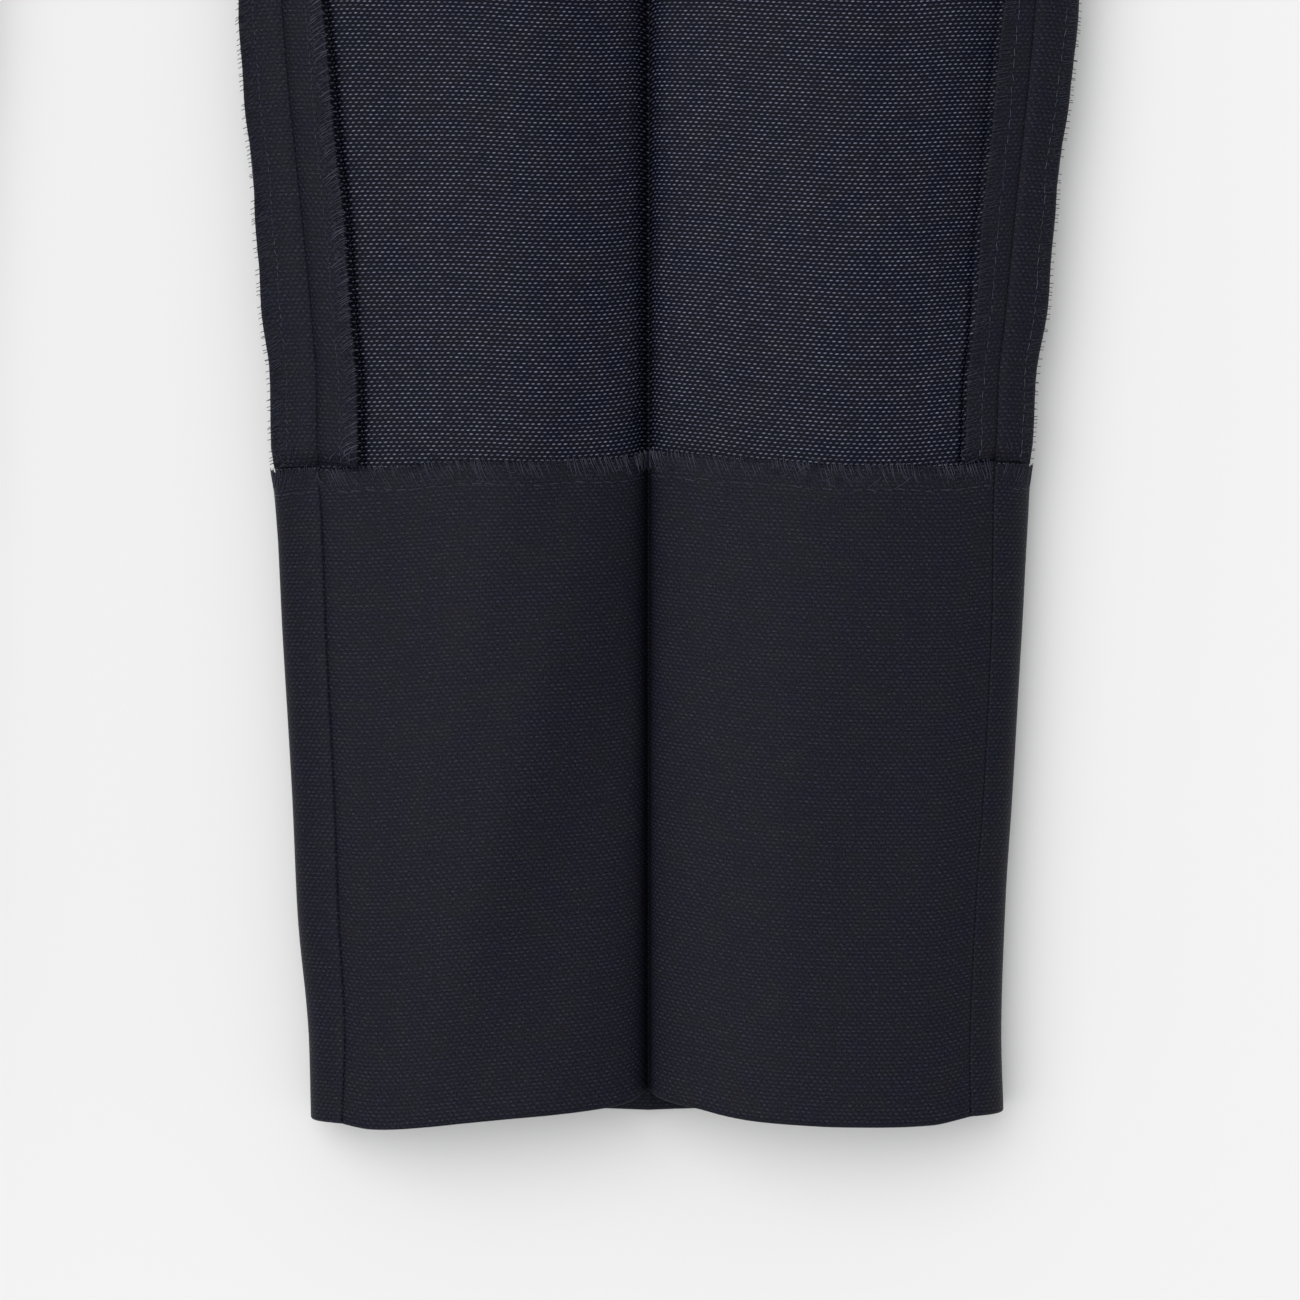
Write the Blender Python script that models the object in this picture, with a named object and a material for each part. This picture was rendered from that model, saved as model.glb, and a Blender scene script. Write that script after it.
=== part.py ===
"""Suit trousers turned inside out and laid flat, front up, with their hem allowances folded up.

Sizes are in millimetres until a mesh is made. A height s runs up the garment from the lowest point
of the hems, x runs across it from the centre line, and z is the height above the surface that the
trousers lie on. Only the right half is worked out: the left half is its mirror image.
"""

import math
from collections import namedtuple

import bmesh
import bpy
import numpy as np

MILLIMETRE = 0.001

# Driving sizes
LENGTH = 1000.0
WAISTBAND_DEPTH = 40.0
CROTCH = 750.0
TURN_UP = 177.0
CLOTH = 1.0
GAP = 0.3
LAYER = CLOTH + GAP
WAISTBAND_THICKNESS = 2.0
CREASE_AT_HEM = 150.0
KNEE_BEND = (330.0, 530.0)
CREASE_LEAN = 0.0965

# One row for each cross-section, from the hem up. inner and outer are the middle of the cloth at the
# leg's two edges, crest is the height that the top cloth aims for, fold is the height of the edges,
# valley is how deep the pressed crease sinks into the top (0 to 1), ridge is how far the back crease
# stands up, and inseam and outseam are how far each seam lies in from its edge.
Section = namedtuple("Section", "s inner outer crest fold valley ridge inseam outseam")
SECTIONS = (
    Section(0, 59.8, 245.0, 29.5, 9.0, 0.75, 4.5, 8.0, 8.7),
    Section(21, 59.3, 244.4, 29.5, 9.0, 0.75, 4.5, 9.4, 8.3),
    Section(57, 56.1, 245.5, 29.4, 9.0, 0.75, 4.3, 10.9, 7.8),
    Section(87, 54.7, 247.4, 29.3, 9.0, 0.75, 4.2, 11.2, 7.6),
    Section(130, 52.1, 249.9, 29.2, 9.0, 0.75, 4.0, 11.6, 8.0),
    Section(174, 49.6, 252.6, 29.0, 9.0, 0.75, 3.8, 12.6, 9.9),
    Section(240, 45.9, 258.7, 28.5, 9.0, 0.75, 3.6, 12.0, 10.0),
    Section(305, 40.8, 265.4, 28.0, 9.0, 0.75, 3.5, 11.4, 11.2),
    Section(430, 35.7, 273.2, 27.5, 9.0, 0.75, 2.0, 12.0, 12.0),
    Section(600, 16.0, 274.0, 27.0, 9.0, 0.75, 0.0, 12.0, 12.0),
    Section(700, 6.6, 276.0, 27.0, 9.0, 0.70, 0.0, 12.0, 12.0),
    Section(735, 3.6, 277.0, 27.0, 9.0, 0.66, 0.0, 3.6, 12.0),
    Section(745, 1.6, 277.0, 27.0, 9.0, 0.65, 0.0, 1.0, 12.0),
    Section(750, 0.65, 277.0, 27.0, 9.0, 0.64, 0.0, 0.0, 12.0),
    Section(790, 0.15, 273.5, 25.8, 8.6, 0.60, 0.0, 0.0, 12.0),
    Section(830, 0.15, 265.5, 24.0, 8.0, 0.55, 0.0, 0.0, 12.0),
    Section(870, 0.15, 253.5, 21.5, 7.5, 0.50, 0.0, 0.0, 12.0),
    Section(915, 0.15, 237.0, 18.2, 7.0, 0.42, 0.0, 0.0, 12.0),
    Section(960, 0.15, 219.5, 15.0, 6.5, 0.35, 0.0, 0.0, 12.0),
    Section(1000, 0.15, 209.0, 13.5, 6.0, 0.30, 0.0, 0.0, 12.0),
)

# Heights at which the cloth's solids have a ring of points
TURN_UP_RINGS = (60.0, 120.0)
LEG_RINGS = (195.0, 250.0, 305.0, 400.0, 500.0, 600.0, 660.0, 700.0, 720.0, 735.0, 745.0)
BODY_RINGS = (756.0, 766.0, 777.0, 788.0, 800.0, 830.0, 870.0, 915.0)

# How the cross-section curves
EDGE_ROUNDNESS = 2.2
VALLEY_REACH = 0.2
UNDERFOLD_WIDTH = 14.0
RIDGE_WIDTH = 26.0
RIDGE_SHOULDER = 9.0
STEP_DOWN = 18.0
FRONT_RISE_ROUND = 50.0
BACK_RISE_ROUND = 45.0
OPEN_DROP = 0.18

# Where the points of a ring lie: distances along the cloth
CREASE_SHOULDERS = (8.0, 22.0)
FRONT_ALLOWANCE = 12.0
BACK_ALLOWANCE_SHARES = (0.45, 0.9)
BACK_ALLOWANCE_LEAST = (5.0, 11.0)
FOLD_POINTS = (5.5, 14.0)
FOLD_SPACINGS = (1.5, 4.0, 5.0)
FOLD_STEPS = 5

# The hem hangs lower at the two lobes than at the crease and the edges
HEM_TURN = 0.5 * GAP + CLOTH
HEM_TURN_STEPS = 3
CREASE_LIFT = 3.8
CREASE_LIFT_REACH = 0.06
LOBE_LIFT = 3.8
LOBE_LIFT_REACH = 0.7
INNER_EDGE_LIFT = 1.0
OUTER_EDGE_LIFT = 2.7
EDGE_LIFT_START = 0.8
BACK_LIFT = 1.7
LIFT_FADE = 400.0

# The height and half width of the slider along the zip, from the end of its pull tab to its nose
SLIDER_OUTLINE = ((921.0, 2.4), (934.0, 2.4), (935.0, 4.0), (944.0, 4.0), (945.5, 3.0))

# The waist button's outline, as shares of its radius and thickness, from the middle of its back
BUTTON_PROFILE = (
    (0.0, 0.0),
    (0.62, 0.0),
    (1.0, 0.35),
    (1.0, 0.75),
    (0.9, 1.0),
    (0.68, 0.62),
    (0.0, 0.62),
)

# Small pieces
INSEAM_STRIP_TOP = 720.0
RISE_STRIP_BOTTOM = 788.0
FLY_BOTTOM = 812.0
ZIP_CHAIN_THICKNESS = 1.6
SHIELD_THICKNESS = 1.2
SLIDER_THICKNESS = 1.6
FLY_RINGS = (954.0, 948.0, 918.0, 912.0, 870.0, 830.0)
POINTS_ACROSS_FLY = 9
BESIDE_CENTRE = slice(4, 6)
SLIDER_BUMP = (918.0, 948.0)
POCKETING_THICKNESS = 1.5
POCKET_ROUNDING = 755.0
POCKET_PLACES = (2.05, 3.0, 4.0, 5.0)
POCKET_BOTTOMS = (735.0, 702.0, 700.0, 728.0)
POCKET_BOTTOM_STEPS = (0.4, 0.75, 1.0)
EXTENSION_RAMP = 4.0
EXTENSION_POINTS = 4
BUTTON_RADIUS = 7.5
BUTTON_THICKNESS = 2.8
BUTTON_HOLE_RADIUS = 0.9
BUTTON_HOLE_SPACING = 1.6
BUTTON_AT_X = -26.0

COLOURS = {
    "cloth": ((0.022, 0.023, 0.032), 0.85, 0.0),
    "pocketing": ((0.012, 0.012, 0.016), 0.80, 0.0),
    "zip_tape": ((0.010, 0.011, 0.016), 0.75, 0.0),
    "zip_metal": ((0.30, 0.28, 0.25), 0.35, 1.0),
    "button": ((0.016, 0.017, 0.024), 0.30, 0.0),
}


def section(s):
    """The cross-section's sizes at height s, read between the rows of the table."""
    heights = [row.s for row in SECTIONS]
    columns = zip(*SECTIONS)
    return Section(*(float(np.interp(s, heights, column)) for column in columns))


def smooth_step(value, start, end):
    """0 before start, 1 after end, and a smooth rise between them."""
    share = min(max((value - start) / (end - start), 0.0), 1.0)
    return share * share * (3.0 - 2.0 * share)


def flat_level(s, thickness):
    """Height of the middle of the cloth where it lies flat: over the turn-up it is a layer higher."""
    resting = 0.5 * thickness
    return float(np.interp(s, (TURN_UP, TURN_UP + STEP_DOWN), (resting + LAYER, resting)))


def crease_x(s):
    """The leg lies straight from the hem to the knee, then leans in to the hip after a soft bend."""
    start, end = KNEE_BEND
    past = max(0.0, s - start)
    bending = min(past, end - start)
    return CREASE_AT_HEM - CREASE_LEAN * (0.5 * bending**2 / (end - start) + past - bending)


def half_curves(s, side, thickness):
    """Fine points (x, z) of the top cloth from crease to edge, and of the under cloth from edge to crease."""
    size = section(s)
    crease = crease_x(s)
    edge = size.inner if side == "inner" else size.outer
    rising = smooth_step(s, CROTCH, CROTCH + FRONT_RISE_ROUND) if side == "inner" else 0.0
    sinking = smooth_step(s, CROTCH, CROTCH + BACK_RISE_ROUND) if side == "inner" else 0.0
    level = flat_level(s, thickness)

    share = np.sin(np.linspace(0.0, 0.5 * math.pi, 120))
    closed_form = np.sqrt(1.0 - share**EDGE_ROUNDNESS)
    open_form = 1.0 - OPEN_DROP * share**2
    form = closed_form + (open_form - closed_form) * rising
    valley = 1.0 - size.valley * np.exp(-share / VALLEY_REACH)
    top = np.stack(
        (crease + (edge - crease) * share, size.fold + (size.crest - size.fold) * form * valley), axis=1
    )

    turn = np.linspace(0.0, 0.5 * math.pi, 60)
    inward = math.copysign(1.0, crease - edge)
    fold_height = (size.fold - level) * (1.0 - sinking)
    fold = np.stack(
        (
            edge + inward * UNDERFOLD_WIDTH * (1.0 - np.cos(turn)),
            level + fold_height * (1.0 - np.sin(turn)),
        ),
        axis=1,
    )
    across = np.linspace(fold[-1, 0], crease, 60)[1:]
    tent = np.clip(1.0 - np.abs(across - crease) / RIDGE_WIDTH, 0.0, 1.0)
    flat = np.stack((across, level + size.ridge * tent**2), axis=1)
    return top, np.concatenate((fold, flat))


def lengths(curve):
    """Distance along a curve at each of its points."""
    steps = np.hypot(*np.diff(curve, axis=0).T)
    return np.concatenate(([0.0], np.cumsum(steps)))


def along(curve, distances):
    """Points at the given distances along a curve."""
    reached = lengths(curve)
    return np.stack([np.interp(distances, reached, curve[:, axis]) for axis in (0, 1)], axis=1)


def half_ring(s, side, thickness):
    """Ring points of one half: the front's from crease to seam, and the back's from seam to crease."""
    size = section(s)
    top, under = half_curves(s, side, thickness)
    inset = size.inseam if side == "inner" else size.outseam
    top_reach = lengths(top)
    top_length = top_reach[-1]
    from_edge = np.abs(top[:, 0] - top[-1, 0])[::-1]
    seam = top_length - np.interp(inset, from_edge, (top_length - top_reach)[::-1])
    last = seam - FRONT_ALLOWANCE
    near, far = CREASE_SHOULDERS
    spread = np.linspace(far, last, 4)[1:3]
    front = along(top, np.array([0.0, near, far, *spread, last, seam - 0.5 * FRONT_ALLOWANCE, seam]))

    width = top_length - seam
    first, second = (
        max(share * width, least) for share, least in zip(BACK_ALLOWANCE_SHARES, BACK_ALLOWANCE_LEAST)
    )
    edge_gap, fold_gap, flat_gap = FOLD_SPACINGS
    at_edge = max(width, second + edge_gap)
    at_fold = max(width + FOLD_POINTS[0], at_edge + fold_gap)
    at_flat = max(width + FOLD_POINTS[1], at_fold + flat_gap)
    round_fold = np.array([0.0, first, second, at_edge, at_fold, at_flat])
    if side == "inner" and s > CROTCH:
        back = along(under, round_fold)
    else:
        back = along(np.concatenate((top, under[1:])), seam + round_fold)
    crease = crease_x(s)
    inward = math.copysign(1.0, crease - under[0, 0])
    ridge_x = crease - inward * np.array([RIDGE_WIDTH, RIDGE_SHOULDER, 0.0])
    ridge_z = [np.interp(inward * x, inward * under[:, 0], under[:, 1]) for x in ridge_x]
    back = np.concatenate((back, np.stack((ridge_x, ridge_z), axis=1)))
    return front, back


def offset_directions(points, closed_start, closed_end):
    """How far each point moves for each millimetre of offset, outwards, so that layers stay parallel."""
    steps = np.diff(points, axis=0)
    steps /= np.hypot(steps[:, 0], steps[:, 1])[:, None]
    normals = np.stack((steps[:, 1], -steps[:, 0]), axis=1)
    before = np.concatenate((normals[:1], normals))
    after = np.concatenate((normals, normals[-1:]))
    if closed_start is not None:
        before[0] = closed_start
    if closed_end is not None:
        after[-1] = closed_end
    middle = before + after
    return 2.0 * middle / np.sum(middle * middle, axis=1)[:, None]


def end_normal(start, end):
    step = (end - start) / np.hypot(*(end - start))
    return np.array((step[1], -step[0]))


def trim(points, ends):
    """Draws the named ends of a row of points back from a seam by half the gap."""
    points = points.copy()
    for end in ends:
        inside = 1 if end == 0 else -2
        step = points[inside] - points[end]
        points[end] += step * (0.5 * GAP / np.hypot(*step))
    return points


def front_lift(x, s):
    """How much higher than the lobes the front's hem lies at x."""
    size = section(s)
    crease = crease_x(s)
    inner_side = x < crease
    edge = np.where(inner_side, size.inner, size.outer)
    share = np.abs((x - crease) / (edge - crease))
    near_edge = np.clip((share - EDGE_LIFT_START) / (1.0 - EDGE_LIFT_START), 0.0, 1.0)
    at_edge = np.where(inner_side, INNER_EDGE_LIFT, OUTER_EDGE_LIFT) * near_edge
    at_crease = CREASE_LIFT * np.exp(-share / CREASE_LIFT_REACH)
    return at_crease + LOBE_LIFT * np.clip(1.0 - share / LOBE_LIFT_REACH, 0.0, 1.0) + at_edge


def ring(s, thickness=CLOTH):
    """The ring at height s: for front and back, its points, their offset directions and their lift."""
    inner_front, inner_back = half_ring(s, "inner", thickness)
    outer_front, outer_back = half_ring(s, "outer", thickness)
    front = np.concatenate((outer_front[::-1], inner_front[1:]))
    back = np.concatenate((inner_back, outer_back[::-1][1:]))
    joined = s <= CROTCH
    front_directions = offset_directions(
        front, end_normal(back[-2], back[-1]), end_normal(back[0], back[1]) if joined else None
    )
    back_directions = offset_directions(
        back, end_normal(front[-2], front[-1]) if joined else None, end_normal(front[0], front[1])
    )
    lift = front_lift(front[:, 0], s)
    round_shares = np.clip(np.arange(len(back)) / FOLD_STEPS, 0.0, 1.0)
    back_lift = (
        BACK_LIFT
        + (lift[-1] - BACK_LIFT) * (1.0 - round_shares)
        + (lift[0] - BACK_LIFT) * (1.0 - round_shares[::-1])
    )
    front = trim(front, (0, -1) if joined else (0,))
    back = trim(back, (0, -1) if joined else (-1,))
    return {"front": (front, front_directions, lift), "back": (back, back_directions, back_lift)}


def layer(s, part, offset, slide=0.0, thickness=CLOTH):
    """Points (x, y, z) of a ring moved out by an offset, which may differ along the ring."""
    points, directions, lift = ring(s, thickness)[part]
    moved = points + directions * np.broadcast_to(offset, len(points))[:, None]
    height = s + slide + lift * max(0.0, 1.0 - s / LIFT_FADE)
    return np.stack((moved[:, 0], height - 0.5 * LENGTH, moved[:, 1]), axis=1)


def off_centre(outer, inner):
    """Moves a wall's two faces out together where either would cross half the gap from the centre line."""
    short = np.clip(0.5 * GAP - np.minimum(outer[..., 0], inner[..., 0]), 0.0, None)
    shift = np.stack((short, np.zeros_like(short), np.zeros_like(short)), axis=-1)
    return outer + shift, inner + shift


def columns_of(points, places):
    """Points at whole or part places along a row of points, straight between its own points."""
    counts = np.arange(len(points))
    return np.stack([np.interp(places, counts, points[:, axis]) for axis in range(3)], axis=1)


def material(name):
    found = bpy.data.materials.get(name)
    if found:
        return found
    colour, roughness, metallic = COLOURS[name]
    made = bpy.data.materials.new(name)
    made.use_nodes = True
    shader = made.node_tree.nodes["Principled BSDF"]
    shader.inputs["Base Color"].default_value = (*colour, 1.0)
    shader.inputs["Roughness"].default_value = roughness
    shader.inputs["Metallic"].default_value = metallic
    return made


def finish(name, built, finish_name):
    """Turns a bmesh in millimetres into a named object with its material."""
    bmesh.ops.recalc_face_normals(built, faces=built.faces)
    mesh = bpy.data.meshes.new(name)
    built.to_mesh(mesh)
    built.free()
    mesh.shade_smooth()
    mesh.set_sharp_from_angle(angle=math.radians(40))
    mesh.materials.append(material(finish_name))
    made = bpy.data.objects.new(name, mesh)
    bpy.context.collection.objects.link(made)
    return made


def wall(name, outer, inner, finish_name, mirrored=False):
    """A closed wall between two grids of points (rows, columns, xyz), in millimetres."""
    outer, inner = np.array(outer), np.array(inner)
    rows, columns = outer.shape[:2]
    sign = -1.0 if mirrored else 1.0
    built = bmesh.new()
    skins = []
    for skin in (outer, inner):
        points = skin * (sign * MILLIMETRE, MILLIMETRE, MILLIMETRE)
        skins.append([[built.verts.new(point) for point in row] for row in points])
    for skin in skins:
        for row in range(rows - 1):
            for column in range(columns - 1):
                corner, beside = skin[row][column], skin[row][column + 1]
                above, across = skin[row + 1][column], skin[row + 1][column + 1]
                built.faces.new((corner, beside, across))
                built.faces.new((corner, across, above))
    border = (
        [(0, column) for column in range(columns)]
        + [(row, columns - 1) for row in range(1, rows)]
        + [(rows - 1, column) for column in range(columns - 2, -1, -1)]
        + [(row, 0) for row in range(rows - 2, 0, -1)]
    )
    for place, following in zip(border, border[1:] + border[:1]):
        first, second = (skins[0][row][column] for row, column in (place, following))
        under_first, under_second = (skins[1][row][column] for row, column in (place, following))
        built.faces.new((first, second, under_second))
        built.faces.new((first, under_second, under_first))
    return finish(name, built, finish_name)


def panel(part):
    """Both faces of a front or back panel: down from the waist, round the hem and up the turn-up."""
    half = 0.5 * CLOTH
    outer, inner = [], []
    heights = (LENGTH - WAISTBAND_DEPTH, *BODY_RINGS[::-1], CROTCH, *LEG_RINGS[::-1], TURN_UP)
    for s in (*heights, *TURN_UP_RINGS[::-1]):
        faces = off_centre(layer(s, part, half), layer(s, part, -half))
        outer.append(faces[0])
        inner.append(faces[1])
    middle = half + 0.5 * GAP
    for step in range(HEM_TURN_STEPS + 1):
        turn = math.pi * step / HEM_TURN_STEPS
        for face, radius in ((outer, 0.5 * GAP), (inner, HEM_TURN)):
            offset = middle - radius * math.cos(turn)
            face.append(layer(HEM_TURN, part, offset, -radius * math.sin(turn)))
    for s in (*TURN_UP_RINGS, TURN_UP):
        outer.append(layer(s, part, half + GAP))
        inner.append(layer(s, part, half + LAYER))
    return outer, inner


def strip(part, places, bottom, top, low, high):
    """Two faces of a strip on a panel, between two heights, over the given places along its rings."""
    between = [s for s in (*LEG_RINGS, CROTCH, *BODY_RINGS) if bottom < s < top]
    faces = []
    for offset in (high, low):
        faces.append([columns_of(layer(s, part, offset), places) for s in (top, *between[::-1], bottom)])
    return off_centre(*(np.array(face) for face in faces))


def seam_allowances(side, mirrored):
    """The pressed-open allowances of the outseam, the inseam and the front rise."""
    low = 0.5 * CLOTH + GAP
    high = low + CLOTH
    waist = LENGTH - WAISTBAND_DEPTH
    last_front = len(ring(0.0)["front"][0]) - 1
    last_back = len(ring(0.0)["back"][0]) - 1
    above_turn_up = TURN_UP + GAP
    first_places = (0, 1, 2)
    front_end = (last_front - 2, last_front - 1, last_front)
    back_end = (last_back - 2, last_back - 1, last_back)
    runs = (
        ("outseam_front", "front", first_places, above_turn_up, waist),
        ("outseam_back", "back", back_end, above_turn_up, waist),
        ("inseam_front", "front", front_end, above_turn_up, INSEAM_STRIP_TOP),
        ("inseam_back", "back", first_places, above_turn_up, INSEAM_STRIP_TOP),
        ("rise_front", "front", front_end, RISE_STRIP_BOTTOM, FLY_BOTTOM - GAP),
    )
    for name, part, places, bottom, top in runs:
        outer, inner = strip(part, places, bottom, top, low, high)
        wall(f"{name}_allowance_{side}", outer, inner, "cloth", mirrored)


def pocket_bag(side, mirrored):
    """A pocket bag on the front panel, from the waistband down, rounded at its bottom."""
    low = 0.5 * CLOTH + GAP
    high = low + POCKETING_THICKNESS
    waist = LENGTH - WAISTBAND_DEPTH
    heights = [waist, *(s for s in BODY_RINGS[::-1] if s > POCKET_ROUNDING)]
    outer, inner = [], []
    for face, offset in ((outer, high), (inner, low)):
        for s in heights:
            face.append(columns_of(layer(s, "front", offset), POCKET_PLACES))
        for share in POCKET_BOTTOM_STEPS:
            row = []
            for place, bottom in zip(POCKET_PLACES, POCKET_BOTTOMS):
                s = heights[-1] + (bottom - heights[-1]) * share
                row.append(columns_of(layer(s, "front", offset), [place])[0])
            face.append(np.array(row))
    wall(f"pocket_bag_{side}", outer, inner, "pocketing", mirrored)


def waist_ring(s, offset):
    """A whole half-ring of the waistband at height s, from the centre back round to the centre front."""
    back = layer(s, "back", offset, thickness=WAISTBAND_THICKNESS)
    front = layer(s, "front", offset, thickness=WAISTBAND_THICKNESS)
    return np.concatenate((back[:-1], front[1:]))


def waistband(side, mirrored):
    """One half of the waistband. The right half's end runs on past the centre front, over the left half."""
    half = 0.5 * WAISTBAND_THICKNESS
    over = WAISTBAND_THICKNESS + GAP
    outer, inner = [], []
    for s in (LENGTH - WAISTBAND_DEPTH + GAP, LENGTH - 0.5 * WAISTBAND_DEPTH, LENGTH):
        for face, sign in ((outer, 1.0), (inner, -1.0)):
            row = waist_ring(s, sign * half)
            end = row[-1].copy()
            if side == "right":
                raised = waist_ring(s, sign * half + over)[-EXTENSION_POINTS:]
                ramp_end = raised[-1].copy()
                ramp_end[0] = EXTENSION_RAMP
                mirror = raised[::-1] * (-1.0, 1.0, 1.0)
                row = np.concatenate((row[:-2], [ramp_end], mirror))
            else:
                end[0] = -0.5 * EXTENSION_RAMP
                row = np.concatenate((row[:-1], [end]))
            face.append(row)
    wall(f"waistband_{side}", outer, inner, "cloth", mirrored)


def across_centre(s, offsets):
    """Points on both fronts across the fly, from the left front to the right, each at its own offset."""
    offsets = np.broadcast_to(offsets, POINTS_ACROSS_FLY)
    last = len(ring(0.0)["front"][0]) - 1
    chain = last - 0.5
    left = (last - 3, last - 2, last - 1, chain, last)
    right = (last, chain, last - 1, last - 2)
    points = []
    for place, offset in zip(left, offsets):
        points.append(columns_of(layer(s, "front", offset), [place])[0] * (-1.0, 1.0, 1.0))
    for place, offset in zip(right, offsets[len(left) :]):
        points.append(columns_of(layer(s, "front", offset), [place])[0])
    return np.array(points)


def fly():
    """The zip on the backs of the two fronts, its slider, and the shield that covers them."""
    low = 0.5 * CLOTH + GAP
    tape = low + CLOTH
    chain = low + ZIP_CHAIN_THICKNESS
    waist = LENGTH - WAISTBAND_DEPTH
    heights = (waist, *FLY_RINGS, FLY_BOTTOM)
    zip_places = slice(1, None)
    zip_top = (tape, tape, tape, chain, chain, chain, chain, tape, tape)
    zip_outer = [across_centre(s, zip_top)[zip_places] for s in heights]
    zip_inner = [across_centre(s, low)[zip_places] for s in heights]
    wall("zip_tape", zip_outer, zip_inner, "zip_tape")

    shield_low = np.array(zip_top) + GAP
    over_slider = chain + GAP + SLIDER_THICKNESS + GAP
    raised = np.array((0, 0, 1, 1, 1, 1, 1, 1, 0))
    shield_outer, shield_inner = [], []
    for s in heights:
        lifted = SLIDER_BUMP[0] <= s <= SLIDER_BUMP[1]
        under = np.where(raised * lifted > 0, over_slider, shield_low)
        shield_inner.append(across_centre(s, under))
        shield_outer.append(across_centre(s, under + SHIELD_THICKNESS))
    wall("fly_shield", shield_outer, shield_inner, "cloth")

    under = chain + GAP
    slider_outer, slider_inner = [], []
    for s, half_width in SLIDER_OUTLINE:
        centre = across_centre(s, under)[BESIDE_CENTRE].mean(axis=0)
        for face, height in ((slider_inner, 0.0), (slider_outer, SLIDER_THICKNESS)):
            face.append([centre + (x, 0.0, height) for x in (-half_width, 0.0, half_width)])
    wall("zip_slider", slider_outer, slider_inner, "zip_metal")


def waist_button():
    """The sewn-through button that holds the underlap extension, a turned disc with four holes."""
    s = LENGTH - 0.5 * WAISTBAND_DEPTH
    extension_top = 0.5 * WAISTBAND_THICKNESS + WAISTBAND_THICKNESS + GAP
    row = waist_ring(s, extension_top)[-EXTENSION_POINTS:][::-1] * (-1.0, 1.0, 1.0)
    seat = np.interp(-BUTTON_AT_X, -row[:, 0], row[:, 2])
    tilt = math.atan2(row[-1, 2] - row[0, 2], row[0, 0] - row[-1, 0])
    lift = math.tan(abs(tilt)) * BUTTON_PROFILE[1][0] * BUTTON_RADIUS + 2.0 * GAP
    centre = (BUTTON_AT_X, s - 0.5 * LENGTH, seat + lift)
    built = bmesh.new()
    width, height = BUTTON_RADIUS * MILLIMETRE, BUTTON_THICKNESS * MILLIMETRE
    outline = [built.verts.new((across * width, 0.0, up * height)) for across, up in BUTTON_PROFILE]
    edges = [built.edges.new(pair) for pair in zip(outline, outline[1:])]
    bmesh.ops.spin(
        built,
        geom=outline + edges,
        cent=(0.0, 0.0, 0.0),
        axis=(0.0, 0.0, 1.0),
        angle=2.0 * math.pi,
        steps=20,
        use_merge=True,
    )
    bmesh.ops.remove_doubles(built, verts=built.verts, dist=0.01 * MILLIMETRE)
    button = finish("waist_button", built, "button")
    button.location = [value * MILLIMETRE for value in centre]

    holes = bmesh.new()
    for x in (-BUTTON_HOLE_SPACING, BUTTON_HOLE_SPACING):
        for y in (-BUTTON_HOLE_SPACING, BUTTON_HOLE_SPACING):
            made = bmesh.ops.create_cone(
                holes,
                cap_ends=True,
                segments=8,
                radius1=BUTTON_HOLE_RADIUS * MILLIMETRE,
                radius2=BUTTON_HOLE_RADIUS * MILLIMETRE,
                depth=4.0 * BUTTON_THICKNESS * MILLIMETRE,
            )
            bmesh.ops.translate(holes, verts=made["verts"], vec=(x * MILLIMETRE, y * MILLIMETRE, 0.0))
    cutter = finish("button_holes", holes, "button")
    cutter.location = button.location
    cutter.hide_render = True
    cutter.display_type = "WIRE"
    cut = button.modifiers.new("holes", "BOOLEAN")
    cut.operation = "DIFFERENCE"
    cut.object = cutter


def trousers():
    for old in list(bpy.data.objects):
        bpy.data.objects.remove(old)
    for side, mirrored in (("right", False), ("left", True)):
        for part in ("front", "back"):
            outer, inner = panel(part)
            wall(f"{part}_{side}", outer, inner, "cloth", mirrored)
        seam_allowances(side, mirrored)
        pocket_bag(side, mirrored)
        waistband(side, mirrored)
    fly()
    waist_button()


trousers()
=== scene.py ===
"""The looks of a pair of suit trousers, turned inside out and laid flat, their hem allowances folded up.

Lengths inside the making of the cloth are millimetres: s is the height up the garment from the hem,
x the distance from the centre, z the height above the table. Meshes and materials are in metres.
"""

import math

import bpy
import numpy as np
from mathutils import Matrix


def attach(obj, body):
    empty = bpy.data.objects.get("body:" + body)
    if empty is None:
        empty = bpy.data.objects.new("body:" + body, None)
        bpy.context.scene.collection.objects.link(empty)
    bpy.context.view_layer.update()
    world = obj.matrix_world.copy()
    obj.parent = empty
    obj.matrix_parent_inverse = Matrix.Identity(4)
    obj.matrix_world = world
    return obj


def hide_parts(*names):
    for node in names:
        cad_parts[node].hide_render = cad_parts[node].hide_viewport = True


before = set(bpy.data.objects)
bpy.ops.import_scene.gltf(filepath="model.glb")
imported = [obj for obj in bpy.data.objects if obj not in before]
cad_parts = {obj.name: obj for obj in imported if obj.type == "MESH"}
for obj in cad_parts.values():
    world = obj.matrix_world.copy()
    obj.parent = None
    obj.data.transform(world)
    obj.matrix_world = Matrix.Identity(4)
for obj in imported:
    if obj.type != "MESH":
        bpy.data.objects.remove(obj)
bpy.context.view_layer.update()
bpy.ops.object.select_all(action="DESELECT")

# The pale table top, the camera straight above the right hem, and the soft studio light from the
# upper left.
CAMERA_PLACE, CAMERA_LENS = (0.1504, -0.3722, 0.900), 90.5
TABLE_SIZE = 14.0
MM = 0.001


def feed(tree, socket, value):
    """Gives a node's input its value, or links it to the socket that the value comes from."""
    if isinstance(value, bpy.types.NodeSocket):
        tree.links.new(value, socket)
    else:
        socket.default_value = value


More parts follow.
